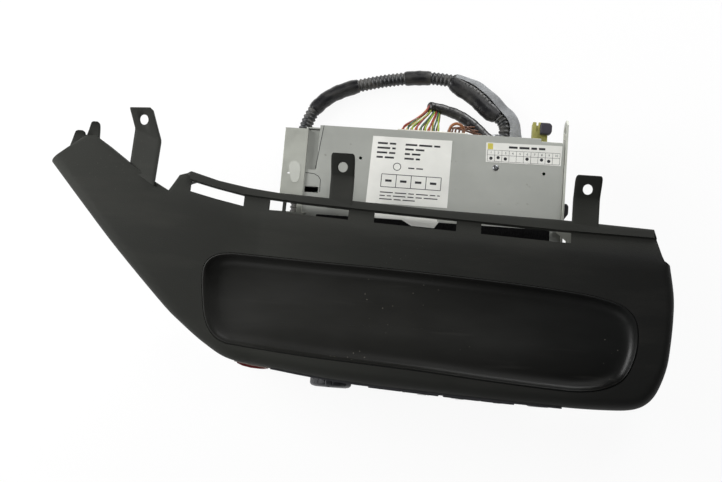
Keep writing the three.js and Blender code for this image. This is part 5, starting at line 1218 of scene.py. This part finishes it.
# Paper labels on the cover

COVER_TOP = 52.0
FLANGE_TOP = 53.8
PAPER_THICKNESS = 0.12
INK_THICKNESS = 0.03
PRINT_HEIGHT = COVER_TOP + PAPER_THICKNESS
SHEET_CELLS = 12
RING_SIDES = 20
FIRST_WAY, WAY_STEP = 0.068, 0.096
SEAM_SHADE_WIDTH = 0.44
SCREW_PLACE = (43.3, 54.2, COVER_TOP)
SCREW_RADIUS = 2.1
LARGE_LABEL = [(-43.6, 24.2), (12.2, 23.9), (12.6, 71.0), (-42.2, 71.2)]
SMALL_LABEL = [(36.2, 57.9), (87.0, 58.3), (87.4, 72.2), (35.8, 71.6)]


def on_cover(name, bm, finish):
    riding(shown(name, bm, finish))


def bar(start, end, width, height):
    """A thin straight bar between two places in plan."""
    start, end = np.array(start, float), np.array(end, float)
    along = (end - start) / np.linalg.norm(end - start)
    side = np.array((-along[1], along[0])) * width / 2
    points = (start - side, end - side, end + side, start + side)
    return slab(points, height, height + INK_THICKNESS)


def flat_text(text, size, thickness):
    """Plain numerals as mesh, lying flat round the origin."""
    curve = bpy.data.curves.new("numeral", "FONT")
    curve.body = text
    curve.size = size * MM
    curve.align_x = "CENTER"
    curve.align_y = "CENTER"
    curve.extrude = thickness * MM
    holder = bpy.data.objects.new("numeral", curve)
    bpy.context.scene.collection.objects.link(holder)
    bm = worked(holder)
    bpy.data.objects.remove(holder)
    bpy.data.curves.remove(curve)
    return bm


class Label:
    """A paper sheet between four corners, and what is printed at shares of its width and depth."""

    def __init__(self, corners, rng):
        self.corners = np.array(corners, float)
        self.rng = rng
        self.prints = []

    def at(self, u, v):
        a, b, c, d = self.corners
        return (a * (1 - u) + b * u) * (1 - v) + (d * (1 - u) + c * u) * v

    def sheet(self, curl=0.0):
        """The paper itself, with a slight curl at its third corner."""
        def place(i, j):
            u, v = i / SHEET_CELLS, j / SHEET_CELLS
            return *self.at(u, v), PRINT_HEIGHT + curl * max(0.0, u + v - 1.75) ** 1.5

        bm = woven(SHEET_CELLS + 1, SHEET_CELLS + 1, place)
        return raised(bm, (0, 0, -0.9 * PAPER_THICKNESS))

    def stroke(self, start, end, weight):
        self.prints.append(bar(self.at(*start), self.at(*end), weight, PRINT_HEIGHT))

    def dashes(self, v, start, end, weight):
        """A row of short bars of uneven length."""
        while start < end - 0.03:
            reach = min(end, start + self.rng.uniform(0.05, 0.17))
            self.stroke((start, v), (reach, v), weight)
            start = reach + 0.025

    def boxes(self, low, high, count, weight):
        """A row of empty boxes between two corners."""
        for v in (low[1], high[1]):
            self.stroke((low[0], v), (high[0], v), weight)
        for k in range(count + 1):
            u = low[0] + (high[0] - low[0]) * k / count
            self.stroke((u, low[1]), (u, high[1]), weight)

    def ring(self, u, v, radius, weight):
        x, y = self.at(u, v)
        for k in range(RING_SIDES):
            points = []
            for n, r in ((k, radius), (k, radius + weight), (k + 1, radius + weight), (k + 1, radius)):
                turn = 2 * math.pi * n / RING_SIDES
                points.append((x + r * math.cos(turn), y + r * math.sin(turn)))
            self.prints.append(slab(points, PRINT_HEIGHT, PRINT_HEIGHT + INK_THICKNESS))


def make_labels():
    """Two paper labels with printed bars, empty boxes and plain numbers."""
    rng = random.Random(5)
    large, small = Label(LARGE_LABEL, rng), Label(SMALL_LABEL, rng)
    on_cover("cover_label_large", large.sheet(curl=5), "paper")
    on_cover("cover_label_small", small.sheet(), "paper")
    for v, end in ((0.9, 0.9), (0.83, 0.66), (0.76, 0.66), (0.69, 0.66)):
        large.dashes(v, 0.07, 0.3, 1.3)
        large.dashes(v, 0.42, end, 1.3)
    large.ring(0.34, 0.56, 2.3, 0.5)
    large.dashes(0.55, 0.48, 0.7, 0.9)
    large.boxes((0.16, 0.25), (0.9, 0.44), 4, 0.45)
    for u in (0.25, 0.435, 0.62, 0.805):
        large.stroke((u - 0.04, 0.345), (u + 0.04, 0.345), 1.6)
    for v, end in ((0.17, 0.9), (0.12, 0.92), (0.07, 0.6)):
        large.dashes(v, 0.16, end, 0.7)
    on_cover("large_label_print", gathered(*large.prints), "ink")
    small.dashes(0.8, 0.3, 0.78, 1.5)
    small.boxes((0.02, 0.05), (0.98, 0.62), 10, 0.2)
    small.stroke((0.02, 0.37), (0.98, 0.37), 0.2)
    for k in range(10):
        place = *small.at(FIRST_WAY + WAY_STEP * k, 0.49), PRINT_HEIGHT
        small.prints.append(moved(flat_text(str(k + 1), 2.2, INK_THICKNESS), place))
    for k in (0, 1, 2, 5, 7, 8):
        x, y = small.at(FIRST_WAY + WAY_STEP * k, 0.2 + 0.05 * (k % 2))
        dot = round_bar(1.15, (x, y, PRINT_HEIGHT), (x, y, PRINT_HEIGHT + INK_THICKNESS), 14)
        small.prints.append(dot)
    on_cover("small_label_print", gathered(*small.prints), "ink")
    corners = [small.at(u, v) for u, v in ((0.02, 0.66), (0.09, 0.66), (0.09, 0.96), (0.02, 0.96))]
    on_cover("small_label_patch", slab(corners, PRINT_HEIGHT, PRINT_HEIGHT + INK_THICKNESS), "mark")


make_labels()


EDGE_STRIP = [(-37.1, 14.0), (6.1, 13.7), (5.9, 16.4), (-37.3, 17.8)]
EDGE_TAG = [(-19.5, 14.4), (-11.3, 9.9), (4.4, 9.3), (7.4, 14.0)]
PAINT_DAB = [
    (-99, 46.5), (-95.9, 49.4), (-91.2, 47.3), (-90.6, 41.2), (-91.8, 35.2), (-95.6, 34.8),
    (-97.4, 39.6),
]
# Painted shade along the cover's folded seams, as rows of points in plan
SEAM_SHADE_ROWS = [
    [(-77.0, 76.4), (-80.4, 45.2)],
    [(-87.0, 42.2), (-81, 41.8), (-77.8, 40.2), (-76.2, 37.8), (-76.0, 29.2)],
]


def make_cover_patches():
    """A bare paper strip at the cover's front edge, its loose end over the felt, and a dab of paint."""
    felt_top = box_mm("dust_felt")[1][2]
    on_cover("cover_edge_strip", slab(EDGE_STRIP, COVER_TOP, PRINT_HEIGHT), "paper")
    on_cover("cover_edge_tag", slab(EDGE_TAG, felt_top, felt_top + PAPER_THICKNESS), "paper")
    smooth = spline(PAINT_DAB + PAINT_DAB[:1], 42)[:-1]
    dab = shown("flange_paint_dab", slab(smooth, FLANGE_TOP, FLANGE_TOP + 0.25), "paint")
    riding(dab)


def make_cover_seams():
    """Painted shade: dark lines along the folded seams in the cover's left corner."""
    bars = [bar(*ends, SEAM_SHADE_WIDTH, COVER_TOP) for row in SEAM_SHADE_ROWS for ends in zip(row, row[1:])]
    on_cover("cover_seam_shade", gathered(*bars), "ink")


def make_cover_screw():
    """A domed screw head with a cross recess."""
    bm = bmesh.new()
    bmesh.ops.create_uvsphere(bm, u_segments=32, v_segments=16, radius=SCREW_RADIUS * MM)
    cut = bmesh.ops.bisect_plane(
        bm, geom=bm.verts[:] + bm.edges[:] + bm.faces[:], plane_co=(0, 0, -0.4 * MM),
        plane_no=(0, 0, -1), clear_outer=True,
    )
    rim = [edge for edge in cut["geom_cut"] if isinstance(edge, bmesh.types.BMEdge)]
    bmesh.ops.holes_fill(bm, edges=rim, sides=0)
    bmesh.ops.scale(bm, vec=Vector((1, 1, 0.4)), verts=bm.verts)
    bm = moved(bm, SCREW_PLACE)
    long, narrow = 0.62 * SCREW_RADIUS, 0.12 * SCREW_RADIUS
    for turn in (0.4, 0.4 + math.pi / 2):
        arm = block((-long, long), (-narrow, narrow), (0.2 * SCREW_RADIUS, 2 * SCREW_RADIUS))
        bm = carved(bm, moved(turned(arm, turn, "Z"), SCREW_PLACE))
    riding(shown("cover_screw", bm, "steel"))


make_cover_patches()
make_cover_seams()
make_cover_screw()


# Plain marks on the keys, as x and z points round the middle of a key's face
ARROWS = {
    "seek_down_button": [[(3, -2), (3, 2), (0, 0)], [(0, -2), (0, 2), (-3, 0)]],
    "seek_up_button": [[(-3, -2), (-3, 2), (0, 0)], [(0, -2), (0, 2), (3, 0)]],
    "eject_button": [
        [(-2.6, -0.6), (2.6, -0.6), (0, 2.2)], [(-2.6, -2), (2.6, -2), (2.6, -1.2), (-2.6, -1.2)],
    ],
}
ARROW_DEPTH = 0.3


def face_of(key):
    """The middle of a key's front face, in millimetres."""
    low, high = box_mm(key)
    x, _, z = (low + high) / 2
    return x, low[1], z


def print_on(key, name, *meshes):
    piece = shown(f"{key}_{name}", gathered(*meshes), "print")
    riding(piece, body_of_node[key])


def mark_keys():
    for number, key in enumerate(PRESETS, 1):
        x, front, z = face_of(key)
        numeral = turned(flat_text(str(number), 5, 0.15), math.pi / 2, "X")
        print_on(key, "numeral", moved(numeral, (x, front + 0.1, z)))
    for key, shapes in ARROWS.items():
        x, front, z = face_of(key)
        meshes = []
        for shape in shapes:
            back = flat([(x + dx, front + ARROW_DEPTH, z + dz) for dx, dz in shape])
            meshes.append(raised(back, (0, -ARROW_DEPTH, 0)))
        print_on(key, "arrows", *meshes)


mark_keys()


# Floor, world and lamps

# Name, place and energy
LAMPS = [
    ("key", (0.35, 0.85, 0.32), 8),
    ("left", (-0.66, 0.12, 0.36), 6.5),
    ("front", (-0.3, -0.8, 0.5), 1.0),
    ("overhead", (0.2, 0.55, 1.15), 2),
]
LAMP_SIZE = 0.5


def mixed(tree, share, first, second):
    """Two shaders mixed by a share from 0 to 1."""
    node = tree.nodes.new("ShaderNodeMixShader")
    for place, value in zip(node.inputs, (share, first, second)):
        fill(tree, place, value)
    return node.outputs["Shader"]


def make_floor():
    bm = bmesh.new()
    bmesh.ops.create_grid(bm, x_segments=1, y_segments=1, size=4)
    material = bpy.data.materials.new("white_floor")
    material.use_nodes = True
    tree = material.node_tree
    tree.nodes.clear()
    matte = tree.nodes.new("ShaderNodeBsdfDiffuse")
    matte.inputs["Color"].default_value = (0.94, 0.94, 0.94, 1)
    glow = tree.nodes.new("ShaderNodeEmission")
    # It glows for the camera, for gloss and through glass, and stays matte for the lamps
    rays = tree.nodes.new("ShaderNodeLightPath").outputs
    seen = Signal(tree, rays["Is Camera Ray"])
    for name in ("Is Glossy Ray", "Is Transmission Ray"):
        seen = seen.combine("MAXIMUM", rays[name])
    surface = mixed(tree, seen * 0.93, matte.outputs["BSDF"], glow.outputs["Emission"])
    tree.links.new(surface, tree.nodes.new("ShaderNodeOutputMaterial").inputs["Surface"])
    shown("floor", moved(bm, (0, 0, -1.2)), material)


def light_scene():
    world = bpy.data.worlds.new("world")
    bpy.context.scene.world = world
    world.use_nodes = True
    tree = world.node_tree
    ambient, backdrop = tree.nodes["Background"], tree.nodes.new("ShaderNodeBackground")
    for background, strength in ((ambient, 0.08), (backdrop, 1)):
        background.inputs["Color"].default_value = (1, 1, 1, 1)
        background.inputs["Strength"].default_value = strength
    camera_ray = tree.nodes.new("ShaderNodeLightPath").outputs["Is Camera Ray"]
    surface = mixed(tree, camera_ray, ambient.outputs["Background"], backdrop.outputs["Background"])
    tree.links.new(surface, tree.nodes["World Output"].inputs["Surface"])
    for name, place, energy in LAMPS:
        data = bpy.data.lights.new(name, "AREA")
        data.energy = energy
        data.size = LAMP_SIZE
        lamp = bpy.data.objects.new(name, data)
        lamp.matrix_world = facing(Vector(place), place)
        bpy.context.scene.collection.objects.link(lamp)


make_floor()
light_scene()
